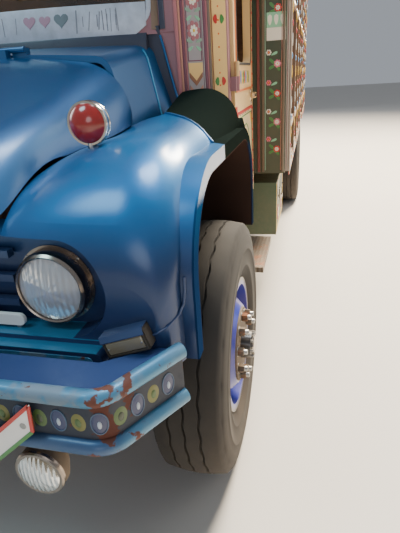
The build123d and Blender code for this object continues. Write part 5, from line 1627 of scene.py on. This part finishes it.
for level in (0.93, 0.98, 1.03):
    dome(post, 0.030, level, 0.012, 0.016, "leaf", 0.004, 10)
on_both_sides(cab, "cab_panel", FIXED, "cab_wood")

# Doors

door = Work(door_cream, chrome)
leaf_face = flat(door, (1.005, 0.56, 0), FROM_LEFT)
painted_panel(leaf_face, 0.050, 0.905, 0.590, 1.375, ("cream", "red", "leaf", "red", "yellow", "navy"), 10)
frame_line(leaf_face, 0.050, 1.465, 0.590, 2.195, 0.010, "orange", 0.0035)
ribbon(leaf_face, rounded(0.068, 1.583, 0.572, 2.117, 0.057, 6, 2), 0.012, black_rubber, 0.004, closed=True)
lozenges(leaf_face, 0.075, 0.470, 1.523, 0.06, ("leaf", "red", "sky", "yellow"), 9)
lozenges(leaf_face, 0.060, 0.580, 2.158, 0.045, ("red", "yellow", "leaf", "white"), 12)
for level, shade_name in ((0.90, "red"), (1.10, "navy"), (1.46, "leaf"), (1.90, "red")):
    relief(leaf_face, [(0.012, level), (0.040, level + 0.05), (0.040, level + 0.11), (0.012, level + 0.06)],
           shade_name, 0.003)
relief(leaf_face, [(0.006, 1.400), (0.028, 1.215), (0.046, 1.400)], "red", 0.004)
for level in spaced(0.93, 2.2, 22):
    dome(leaf_face, 0.617, level, 0.006, 0.006, "red", 0.0035, 8)
door.block((1.018, 1.048, 1.4115), (1.0336, 1.162, 1.4385), chrome, 0.006)
hoop(leaf_face, 0.560, 1.425, 0.026, 0.032, 0.006, chrome, 0.003, 20)
dome(leaf_face, 0.560, 1.385, 0.007, 0.007, chrome, 0.004, 12)
inner_face = flat(door, (0.965, 1.20, 0), FROM_RIGHT)
board(inner_face, 0.045, 0.92, 0.595, 1.56, "dark_red", 0.003)
for u in spaced(0.10, 0.54, 7):
    ribbon(inner_face, [(u, 0.95), (u, 1.53)], 0.006, "rose", 0.005)
frame_line(inner_face, 0.050, 0.925, 0.590, 1.555, 0.010, "gold", 0.005)
on_both_sides(door, "door_ornament", ("door_l", "door_r"), "door_wood")

# Load body: front corners

corner = Work(body_green)
wall = flat(corner, (1.02, 1.270, 0), FROM_FRONT)
for u, width, shade_name in ((0.012, 0.016, "dark_red"), (0.040, 0.014, "wall_brown"), (0.158, 0.014, "wall_brown")):
    ribbon(wall, [(u, 0.96), (u, 2.74)], width, shade_name, 0.010)
ribbon(wall, [(0.052, 0.97), (0.052, 2.73)], 0.005, "soft_green", 0.006)
ribbon(wall, [(0.146, 0.97), (0.146, 2.73)], 0.004, "salmon", 0.006)
for index, level in enumerate((1.10, 1.26, 1.42, 1.58, 1.86, 2.02, 2.18, 2.34, 2.50, 2.66)):
    flower(wall, 0.122, level, 0.022, "pink" if index % 2 else "red", "white", "yellow", 7)
    flower(wall, 0.072, level + 0.06, 0.016, "white" if index % 2 else "pink", "red", "yellow", 6)
    for turn, size in ((2.4, 0.05), (3.6, 0.045), (-0.9, 0.04)):
        relief(wall, leaf(0.112, level - 0.006, turn, size, 0.016, 8), "leaf", 0.0026)
    relief(wall, leaf(0.085, level + 0.045, 0.4, 0.04, 0.014, 8), "mint", 0.0026)
board(wall, 0.060, 1.700, 0.166, 1.765, "white", 0.004)
board(wall, 0.060, 1.765, 0.166, 1.840, "mint", 0.004)
for u in (0.078, 0.113, 0.148):
    relief(wall, leaf(u, 1.775, pi / 2, 0.055, 0.024, 8), "white", 0.006)
corner_post = flat(corner, (1.190, 1.320, 0), FROM_FRONT)
board(corner_post, 0.001, 0.955, 0.0295, 2.745, "pale_post", 0.002)
ribbon(corner_post, [(0.008, 0.96), (0.008, 2.74)], 0.004, "dark_red", 0.0035)
ribbon(corner_post, [(0.021, 0.96), (0.021, 2.74)], 0.005, "wall_brown", 0.0035)
on_both_sides(corner, "load_corner", FIXED, "body_wood")

# Load body: sides

POST_FIRST = 1.355
POST_PITCH = 0.605
POST_HALF = 0.035
BOARD_X = 1.190
RAIL_X = 1.2138
POST_X = 1.220
SIDE_SCHEMES = (("sky", "red", "white", "red", "yellow", "navy"), ("cream", "leaf", "orange", "pink", "white", "red"),
                ("teal", "orange", "yellow", "yellow", "red", "white"),
                ("navy", "pink", "sky", "orange", "yellow", "red"))
side_work = Work(body_brown)
side_face = flat(side_work, (BOARD_X, 0, 0), FROM_LEFT)
rail_face = flat(side_work, (RAIL_X, 0, 0), FROM_LEFT)
post_face = flat(side_work, (POST_X, 0, 0), FROM_LEFT)
for bay in range(8):
    start_u = POST_FIRST + bay * POST_PITCH + POST_HALF + 0.008
    end_u = POST_FIRST + (bay + 1) * POST_PITCH - POST_HALF - 0.008
    painted_panel(side_face, start_u, 1.258, end_u, 1.892, SIDE_SCHEMES[bay % 4], 8)
    painted_panel(side_face, start_u, 1.958, end_u, 2.662, SIDE_SCHEMES[(bay + 2) % 4], 9)
    over_wheel = bay in (4, 5)
    low = 1.125 if over_wheel else 1.018
    board(side_face, start_u, low, end_u, 1.182, "red" if bay % 2 else "leaf")
    if not over_wheel:
        for index in range(3):
            middle = start_u + (end_u - start_u) * (index + 0.5) / 3
            flower(side_face, middle, 1.10, 0.058, "yellow", "white", "red", 8)
            for turn in (0.0, pi):
                relief(side_face, leaf(middle + 0.062 * cos(turn), 1.10, turn, 0.026, 0.02, 8), "mint", 0.003)
    colours = ("yellow", "red", "white", "teal")
    lozenges(side_face, start_u + 0.01, end_u - 0.01, 1.155 if over_wheel else 1.036, 0.028, colours, 12)
    for level, height in ((0.98, 0.036), (1.22, 0.036), (1.925, 0.030), (2.71, 0.048)):
        if not (over_wheel and level < 1.1):
            lozenges(rail_face, start_u, end_u, level, height, colours, 10)
for post in range(9):
    u = POST_FIRST + post * POST_PITCH
    low = 1.14 if post == 5 else (0.98 if post != 4 else 1.0)
    colours = ("white", "red", "yellow", "sky")
    count = int((2.70 - low) / 0.085)
    for index in range(count):
        level = low + 0.085 * (index + 0.5)
        finish = colours[index % 4]
        if index % 2:
            dome(post_face, u, level, 0.017, 0.017, finish, 0.0045, 12)
            dome(post_face, u, level, 0.007, 0.007, "navy", 0.0062, 8)
        else:
            relief(post_face, [(u - 0.022, level), (u, level - 0.034), (u + 0.022, level), (u, level + 0.034)],
                   finish, 0.0035)
for start_u, end_u, count in ((1.335, 3.60, 34), (4.88, 6.215, 20)):
    scallops(rail_face, start_u, end_u, 0.958, 0.038, ("red", "yellow", "sky"), count)
on_both_sides(side_work, "load_side_ornament", FIXED, "body_wood", 30)

# Crown over the cab

CREST_HALF = 1.30
CREST_END = 3.08
CREST_TOP = 3.42
CREST_DROP = CREST_TOP - CREST_END
CREST_CURVE = (CREST_HALF ** 2 + CREST_DROP ** 2) / (2 * CREST_DROP)


def crest(u):
    """The height of the crown's arched top edge."""
    return CREST_TOP - CREST_CURVE + sqrt(CREST_CURVE ** 2 - u * u)


crown_work = Work(crown_paint)
front = upon(crown_work, "crown", (0, -1.4, 0), FROM_FRONT, reach=2.6)
stations = spaced(-0.98, 0.98, 49)
for drop, width, name, high in ((0.022, 0.030, "yellow", 0.006), (0.052, 0.012, "teal", 0.005),
                                (0.150, 0.008, "white", 0.004)):
    ribbon(front, [(u * 1.10, crest(u * 1.10) - drop) for u in stations], width, name, high)
for level, width, name, high in ((2.400, 0.030, "yellow", 0.006), (2.430, 0.012, "teal", 0.005),
                                 (2.560, 0.010, "white", 0.004)):
    ribbon(front, [(u, level) for u in stations], width, name, high)
lozenges(front, -0.98, 0.98, 2.495, 0.09, ("leaf", "yellow", "sky", "white"), 24, 0.004)
for index in range(28):
    u = -1.03 + 2.06 * (index + 0.5) / 28
    top = crest(u) - 0.070
    relief(front, [(u - 0.028, top), (u, top - 0.062), (u + 0.028, top)], ("sky", "orange")[index % 2], 0.004)
for u in (-0.66, -0.24, 0.24, 0.66):
    ribbon(front, [(u, level) for level in spaced(2.575, crest(u) - 0.165, 7)], 0.022, "gold", 0.006)
for u, level, radius, petal, inner in ((0.0, 2.86, 0.155, "yellow", "white"), (0.45, 2.84, 0.125, "pink", "white"),
                                       (-0.45, 2.84, 0.125, "pink", "white"), (0.82, 2.80, 0.095, "sky", "yellow"),
                                       (-0.82, 2.80, 0.095, "sky", "yellow")):
    hoop(front, u, level, radius * 1.2, radius * 1.2, 0.010, "white", 0.005, 36)
    flower(front, u, level, radius, petal, inner, "red", 12)
    for turn in (0.7, pi - 0.7, -0.7, pi + 0.7):
        start_u, start_v = u + radius * 1.25 * cos(turn), level + radius * 1.25 * sin(turn)
        spray(front, start_u, start_v, turn * 0.8 if abs(turn) < 2 else turn, radius * 0.42, "leaf", "yellow")
side_crown = upon(crown_work, "crown", (1.7, 0, 0), FROM_LEFT, reach=1.4)
other_crown = upon(crown_work, "crown", (-1.7, 0, 0), FROM_RIGHT, reach=1.4)
for place, sign in ((side_crown, 1), (other_crown, -1)):
    low_u, high_u = (0.60, 1.24) if sign > 0 else (-1.24, -0.60)
    frame_line(place, low_u, 2.415, high_u, 3.08, 0.022, "yellow", 0.005, 6)
    frame_line(place, low_u + 0.035, 2.45, high_u - 0.035, 3.045, 0.010, "teal", 0.004, 6)
    middle = (low_u + high_u) / 2
    hoop(place, middle, 2.75, 0.20, 0.20, 0.010, "white", 0.004, 30)
    flower(place, middle, 2.75, 0.165, "yellow", "pink", "sky", 10)
    for su, sv in CORNERS:
        spray(place, middle + su * 0.17, 2.75 + sv * 0.17, atan2(sv, su), 0.085, "leaf", "white")
crown_work.finish("crown_ornament", "crown_wood")

# Rear: tailgate, header, lower board and lamps

gate = Work(body_brown)
gate_face = flat(gate, (0, 6.276, 0), FROM_REAR)
for start_u, end_u, scheme in ((-1.000, -0.415, SIDE_SCHEMES[0]), (-0.320, 0.320, SIDE_SCHEMES[2]),
                               (0.415, 1.000, SIDE_SCHEMES[0])):
    painted_panel(gate_face, start_u, 1.30, end_u, 2.185, scheme, 10)
rib_face = flat(gate, (0, 6.296, 0), FROM_REAR)
for u in (-1.045, -0.3683, 0.3683, 1.045):
    studs(rib_face, run(u, 1.34, u, 2.16, 9), 0.014, ["white", "red"], 0.004, 12)
gate.finish("tailgate_ornament", "body_wood", "tail_board")

rear = Work(body_green)
header = flat(rear, (0, 6.280, 0), FROM_REAR)
frame_line(header, -1.17, 2.505, 1.17, 2.735, 0.014, "yellow", 0.004)
for index in range(9):
    u = -1.04 + 0.26 * index
    flower(header, u, 2.62, 0.075, "pink" if index % 2 else "orange", "white", "navy", 8)
    if index < 8:
        relief(header, leaf(u + 0.13, 2.55, pi / 2, 0.14, 0.05, 10), "leaf", 0.003)
for side in (-1, 1):
    for index in range(15):
        level = 1.24 + 0.083 * index
        relief(header, [(side * 1.15 - 0.024, level), (side * 1.15, level - 0.034), (side * 1.15 + 0.024, level),
                        (side * 1.15, level + 0.034)], ("white", "red", "yellow")[index % 3], 0.003)
skirt = flat(rear, (0, 6.275, 0), FROM_REAR)
frame_line(skirt, -0.87, 0.995, 0.87, 1.165, 0.010, "red", 0.0035)
for index in range(7):
    u = -0.72 + 0.24 * index
    flower(skirt, u, 1.08, 0.055, "yellow", "red", "white", 8)
    if index < 6:
        relief(skirt, [(u + 0.09, 1.08), (u + 0.12, 1.045), (u + 0.15, 1.08), (u + 0.12, 1.115)], "sky", 0.003)
rear.finish("rear_ornament", "body_wood")

tail = Work(chrome, red_lens, amber_lens)
lamp_face = flat(tail, (0, 6.3205, 0), FROM_REAR)
bar_face = flat(tail, (0, 6.3255, 0), FROM_REAR)
for side in (-1, 1):
    middle = side * 0.98
    ribbon(lamp_face, rounded(middle - 0.073, 1.007, middle + 0.073, 1.083, 0.014, 4), 0.007, chrome,
           0.004, closed=True)
    amber = middle + side * 0.046
    board(lamp_face, amber - 0.020, 1.012, amber + 0.020, 1.078, amber_lens, 0.003)
    for u in spaced(middle - side * 0.018, middle - side * 0.062, 8):
        ribbon(lamp_face, [(u, 1.014), (u, 1.076)], 0.0035, red_lens, 0.003)
    for u in (0.95, 0.70):
        dome(bar_face, side * u, 0.590, 0.030, 0.030, red_lens, 0.0042, 20)
tail.finish("tail_lamp_lenses", "red_lens")

# Side marker lamps, mirrors, flaps, tank and chest fittings

fittings = Work(chrome, amber_lens)
marker = flat(fittings, (RAIL_X, 0, 0), FROM_LEFT)
for u in (1.66, 2.87, 5.29, 5.89):
    dome(marker, u, 0.980, 0.020, 0.020, chrome, 0.005, 20)
    dome(marker, u, 0.980, 0.016, 0.016, amber_lens, 0.009, 20)
mirror_back = flat(fittings, (1.160, 0.4285, 2.010), FROM_REAR)
board(mirror_back, -0.060, -0.110, 0.060, 0.110, mirror_glass, 0.0015)
frame_line(mirror_back, -0.0645, -0.1145, 0.0645, 0.1145, 0.009, chrome, 0.003)
mirror_front = flat(fittings, (1.160, 0.4078, 2.010), FROM_FRONT)
frame_line(mirror_front, -0.058, -0.108, 0.058, 0.108, 0.010, "red", 0.003)
flower(mirror_front, 0, 0, 0.045, "yellow", "white", "red", 8)
on_both_sides(fittings, "side_fittings", FIXED, "chrome")

flaps = Work(flap_rubber)
flap_face = flat(flaps, (0, 4.986, 0), FROM_REAR)
for side in (-1, 1):
    middle = side * 0.9175
    frame_line(flap_face, middle - 0.195, 0.355, middle + 0.195, 0.86, 0.018, "white", 0.003)
    relief(flap_face, [(middle, 0.42), (middle + 0.11, 0.60), (middle, 0.78), (middle - 0.11, 0.60)], "red", 0.003)
    flower(flap_face, middle, 0.60, 0.075, "white", "yellow", "red", 8)
    board(flap_face, middle - 0.20, 1.035, middle + 0.20, 1.065, bright_steel, 0.004)
flaps.finish("mud_flap_paint", "rubber")

under = Work(bright_steel, frame_black)
for y in (1.78, 2.26):
    rings = []
    for x, z in ((-0.436, 0.838), (-1.04, 0.843), (-1.0835, 0.80), (-1.0835, 0.51), (-1.04, 0.467), (-0.436, 0.467)):
        rings.append([(x, y - 0.02, z), (x, y + 0.02, z), (x * 0.997, y + 0.02, z - 0.004 * (1 if z > 0.6 else -1)),
                      (x * 0.997, y - 0.02, z - 0.004 * (1 if z > 0.6 else -1))])
    under.rings(rings, bright_steel)
under.turned([(-0.004, 0.040), (0.018, 0.040), (0.026, 0.034), (0.028, 0.02)], (-0.93, 1.68, 0.838), UPWARD,
             bright_steel, 24)
for y in (1.56, 1.96):
    under.block((1.1285, y - 0.02, 0.70), (1.1345, y + 0.02, 0.846), bright_steel, 0.002)
    under.turned([(0.0, 0.008), (0.005, 0.007)], (1.134, y, 0.73), (1, 0, 0), frame_black, 8)
under.block((1.1285, 1.735, 0.66), (1.140, 1.785, 0.74), bright_steel, 0.004)
under.turned([(0.0, 0.018), (0.010, 0.018), (0.013, 0.012)], (1.139, 1.76, 0.685), (1, 0, 0), chrome, 6)
chest_face = flat(under, (1.130, 0, 0), FROM_LEFT)
frame_line(chest_face, 1.46, 0.50, 2.06, 0.83, 0.012, "yellow", 0.003)
for y in (1.60, 1.92):
    flower(chest_face, y, 0.60, 0.06, "red", "white", "yellow", 8)
under.finish("tank_and_chest_fittings", "steel")

# Inside the cab

inside = Work(black_plastic, chrome, floor_mat)
dash_face = flat(inside, (0, 0.4660, 1.6365), FROM_REAR, (0, -0.747, 0.664))
for u, radius in ((0.44, 0.048), (0.32, 0.048), (0.22, 0.030), (0.15, 0.030)):
    hoop(dash_face, u, 0.0, radius, radius, 0.007, chrome, 0.006, 28)
    dome(dash_face, u, 0.0, radius * 0.93, radius * 0.93, black_plastic, 0.003, 24)
    for step in range(9):
        turn = pi * (1.2 - 1.4 * step / 8)
        tip = (u + radius * 0.78 * cos(turn), radius * 0.78 * sin(turn))
        ribbon(dash_face, [(u + radius * 0.66 * cos(turn), radius * 0.66 * sin(turn)), tip], 0.0022, "white", 0.0042)
    ribbon(dash_face, [(u, 0.0), (u + radius * 0.5, radius * 0.4)], 0.0028, "red", 0.006)
for u in (0.05, 0.0, -0.05, -0.10):
    inside.turned([(0.0, 0.008), (0.012, 0.008), (0.016, 0.005)], dash_face(u, 0.0, 0),
                  dash_face(0, 0, 1) - dash_face(0, 0, 0), chrome, 14)
board(dash_face, -0.50, -0.035, -0.20, 0.035, "dark_red", 0.003)
flower(dash_face, -0.35, 0.0, 0.030, "yellow", "white", "red", 8)
inside.turned([(0.0, 0.055), (0.02, 0.045), (0.045, 0.025), (0.06, 0.016)], (-0.02, 0.58, 0.968), UPWARD,
              black_rubber, 24)
inside.tube([(-0.02, 0.58, 1.00), (-0.02, 0.595, 1.12), (-0.03, 0.63, 1.26), (-0.035, 0.655, 1.37)], 0.009, chrome, 12)
inside.turned([(-0.022, 0.012), (-0.012, 0.024), (0.006, 0.027), (0.020, 0.018), (0.026, 0.006)],
              (-0.035, 0.658, 1.385), (0, 0.2, 1), "red", 20)
inside.tube([(-0.14, 0.70, 0.968), (-0.14, 0.70, 1.10), (-0.14, 0.68, 1.26)], 0.008, black_plastic, 10)
for x in (-0.50, -0.38, -0.26):
    inside.tube([(x, 0.375, 1.26), (x, 0.42, 1.18), (x, 0.455, 1.09)], 0.008, black_plastic, 10)
    inside.block((x - 0.032, 0.445, 1.055), (x + 0.032, 0.462, 1.125), black_rubber, 0.005)
for index in range(3):
    y = 0.66 + 0.055 * index
    inside.block((-0.86, y, 0.9695), (-0.10, y + 0.03, 0.977), floor_mat, 0.003)
    inside.block((0.10, y, 0.9695), (0.86, y + 0.03, 0.977), floor_mat, 0.003)
inside.finish("cab_fittings", "wheel_rim_plastic")

WHEEL_HUB = Vector((-0.380, 0.640, 1.640))
COLUMN_FOOT = Vector((-0.380, 0.382, 1.360))
wheel_axis = (WHEEL_HUB - COLUMN_FOOT).normalized()
boss = Work(chrome, black_plastic)
boss.turned([(0.008, 0.040), (0.014, 0.041), (0.020, 0.036), (0.026, 0.022), (0.028, 0.008)], WHEEL_HUB,
            wheel_axis, chrome, 28)
boss.turned([(-0.028, 0.030), (-0.022, 0.039), (0.009, 0.0395)], WHEEL_HUB, wheel_axis, black_plastic, 28)
boss.finish("horn_button", "chrome", "hand_wheel")

# Seat cushions, swollen by a cloth simulation inside the room of their CAD blocks

SEAT_CHANNELS = spaced(-0.806, 0.806, 10)[1:-1]
SEAT_GAP = Vector((0.014, 0.013, 0.013))
STUFFING_PRESSURE = 4
SETTLE_FRAMES = 20
SWELL_CAP = 0.026
BOX_MARGIN = 0.001
SLANT_IN = Vector((0, sqrt(0.5), -sqrt(0.5)))


def near_channel(place, reach):
    """Whether a point lies as near as this to the middle of a channel."""
    return min(abs(place.x - x) for x in SEAT_CHANNELS) < reach


def swollen(piece, low, high, held, voxel):
    """Swell the piece as stuffed cloth, no further than the cap, with its held points kept down."""
    scene = bpy.context.scene
    copy = bpy.data.objects.new(piece.name + "_soft", piece.data.copy())
    scene.collection.objects.link(copy)
    remesh = copy.modifiers.new("Remesh", "REMESH")
    remesh.mode = "VOXEL"
    remesh.voxel_size = voxel
    even = bpy.data.meshes.new_from_object(copy.evaluated_get(bpy.context.evaluated_depsgraph_get()))
    copy.modifiers.clear()
    copy.data = even
    places = [vertex.co + Vector((0, AXLE_BACK, 0)) for vertex in even.vertices]
    group = copy.vertex_groups.new(name="held")
    group.add([index for index, place in enumerate(places) if held(place)], 1.0, "REPLACE")
    cloth = copy.modifiers.new("Cloth", "CLOTH")
    cloth.settings.use_pressure = True
    cloth.settings.uniform_pressure_force = STUFFING_PRESSURE
    cloth.settings.effector_weights.gravity = 0
    cloth.settings.vertex_group_mass = "held"
    for number in range(1, SETTLE_FRAMES + 1):
        scene.frame_set(number)
    full = bpy.data.meshes.new_from_object(copy.evaluated_get(bpy.context.evaluated_depsgraph_get()))
    scene.frame_set(1)
    for index, place in enumerate(places):
        moved = full.vertices[index].co - even.vertices[index].co
        if moved.length > SWELL_CAP:
            moved *= SWELL_CAP / moved.length
        spot = place + moved
        even.vertices[index].co = at(*(min(max(spot[axis], low[axis] + BOX_MARGIN), high[axis] - BOX_MARGIN)
                                       for axis in range(3)))
    copy.modifiers.clear()
    copy.modifiers.new("Smooth", "SUBSURF").levels = 1
    soft = bpy.data.meshes.new_from_object(copy.evaluated_get(bpy.context.evaluated_depsgraph_get()))
    bpy.data.objects.remove(copy)
    soft.materials.clear()
    soft.materials.append(seat_cover)
    soft.polygons.foreach_set("use_smooth", [True] * len(soft.polygons))
    piece.data = soft


def cushion(name, node, low, high, held, seam_line, edge_from, voxel):
    """A sewn bench cushion with channels, and piping in each channel and along its edge."""
    low, high = Vector(low), Vector(high)
    pad = Work(seat_cover)
    pad.block(low + SEAT_GAP, high - SEAT_GAP, seat_cover, 0.02)
    made = pad.finish(name, "seat_cover", soften=60)
    swollen(made, low, high, held, voxel)
    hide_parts(node)
    skin = surface_of(made.data)
    seams = Work(seat_piping)
    for x in SEAT_CHANNELS:
        seams.tube(seam_line(x), 0.0032, seat_piping, 6)
    edge = []
    for x in spaced(-0.795, 0.795, 55):
        hit = skin.ray_cast(Vector((x, *edge_from)), SLANT_IN)[0]
        edge.append(hit - SLANT_IN * 0.0005)
    seams.tube(edge, 0.0038, seat_piping, 8)
    seams.finish(name + "_piping", "seat_cover")


seat_piping = painted("seat_piping", tone(150, 118, 66), rough=0.7, coat=0.0, dust=0.3, dust_high=1.9, wear=0.1,
                      under=tone(90, 70, 46))
cushion("seat_squab", "seat_cushion", (-0.820, 0.790, 1.300), (0.820, 1.101, 1.430),
        lambda place: place.z > 1.410 and 0.835 < place.y < 1.06 and near_channel(place, 0.0075),
        lambda x: [(x, y, 1.418) for y in spaced(0.836, 1.060, 9)], (0.690, 1.530), 0.012)
cushion("seat_backrest", "seat_back", (-0.820, 1.105, 1.300), (0.820, 1.215, 1.920),
        lambda place: place.y < 1.126 and 1.36 < place.z < 1.86 and near_channel(place, 0.0085),
        lambda x: [(x, 1.1165, z) for z in spaced(1.362, 1.858, 9)], (1.005, 2.020), 0.014)

# Floor and surroundings


def lay_floor():
    """A plain pale floor and the soft light of the room."""
    mesh = bpy.data.meshes.new("floor")
    mesh.from_pydata([(-40, -40, 0), (40, -40, 0), (40, 40, 0), (-40, 40, 0)], [], [(0, 1, 2, 3)])
    floor = bpy.data.objects.new("floor", mesh)
    bpy.context.scene.collection.objects.link(floor)
    material, tree, shader, spot = start("floor_paint")
    clouds = noise(tree, spot, 0.8, 4.0)
    tree.links.new(blend_of(tree, clouds, tone(188, 184, 178), tone(197, 193, 187)), shader.inputs["Base Color"])
    shader.inputs["Roughness"].default_value = 0.85
    mesh.materials.append(material)
    world = bpy.data.worlds.new("studio")
    world.use_nodes = True
    world.node_tree.nodes["Background"].inputs["Color"].default_value = (0.80, 0.86, 0.95, 1)
    world.node_tree.nodes["Background"].inputs["Strength"].default_value = 0.42
    bpy.context.scene.world = world


lay_floor()
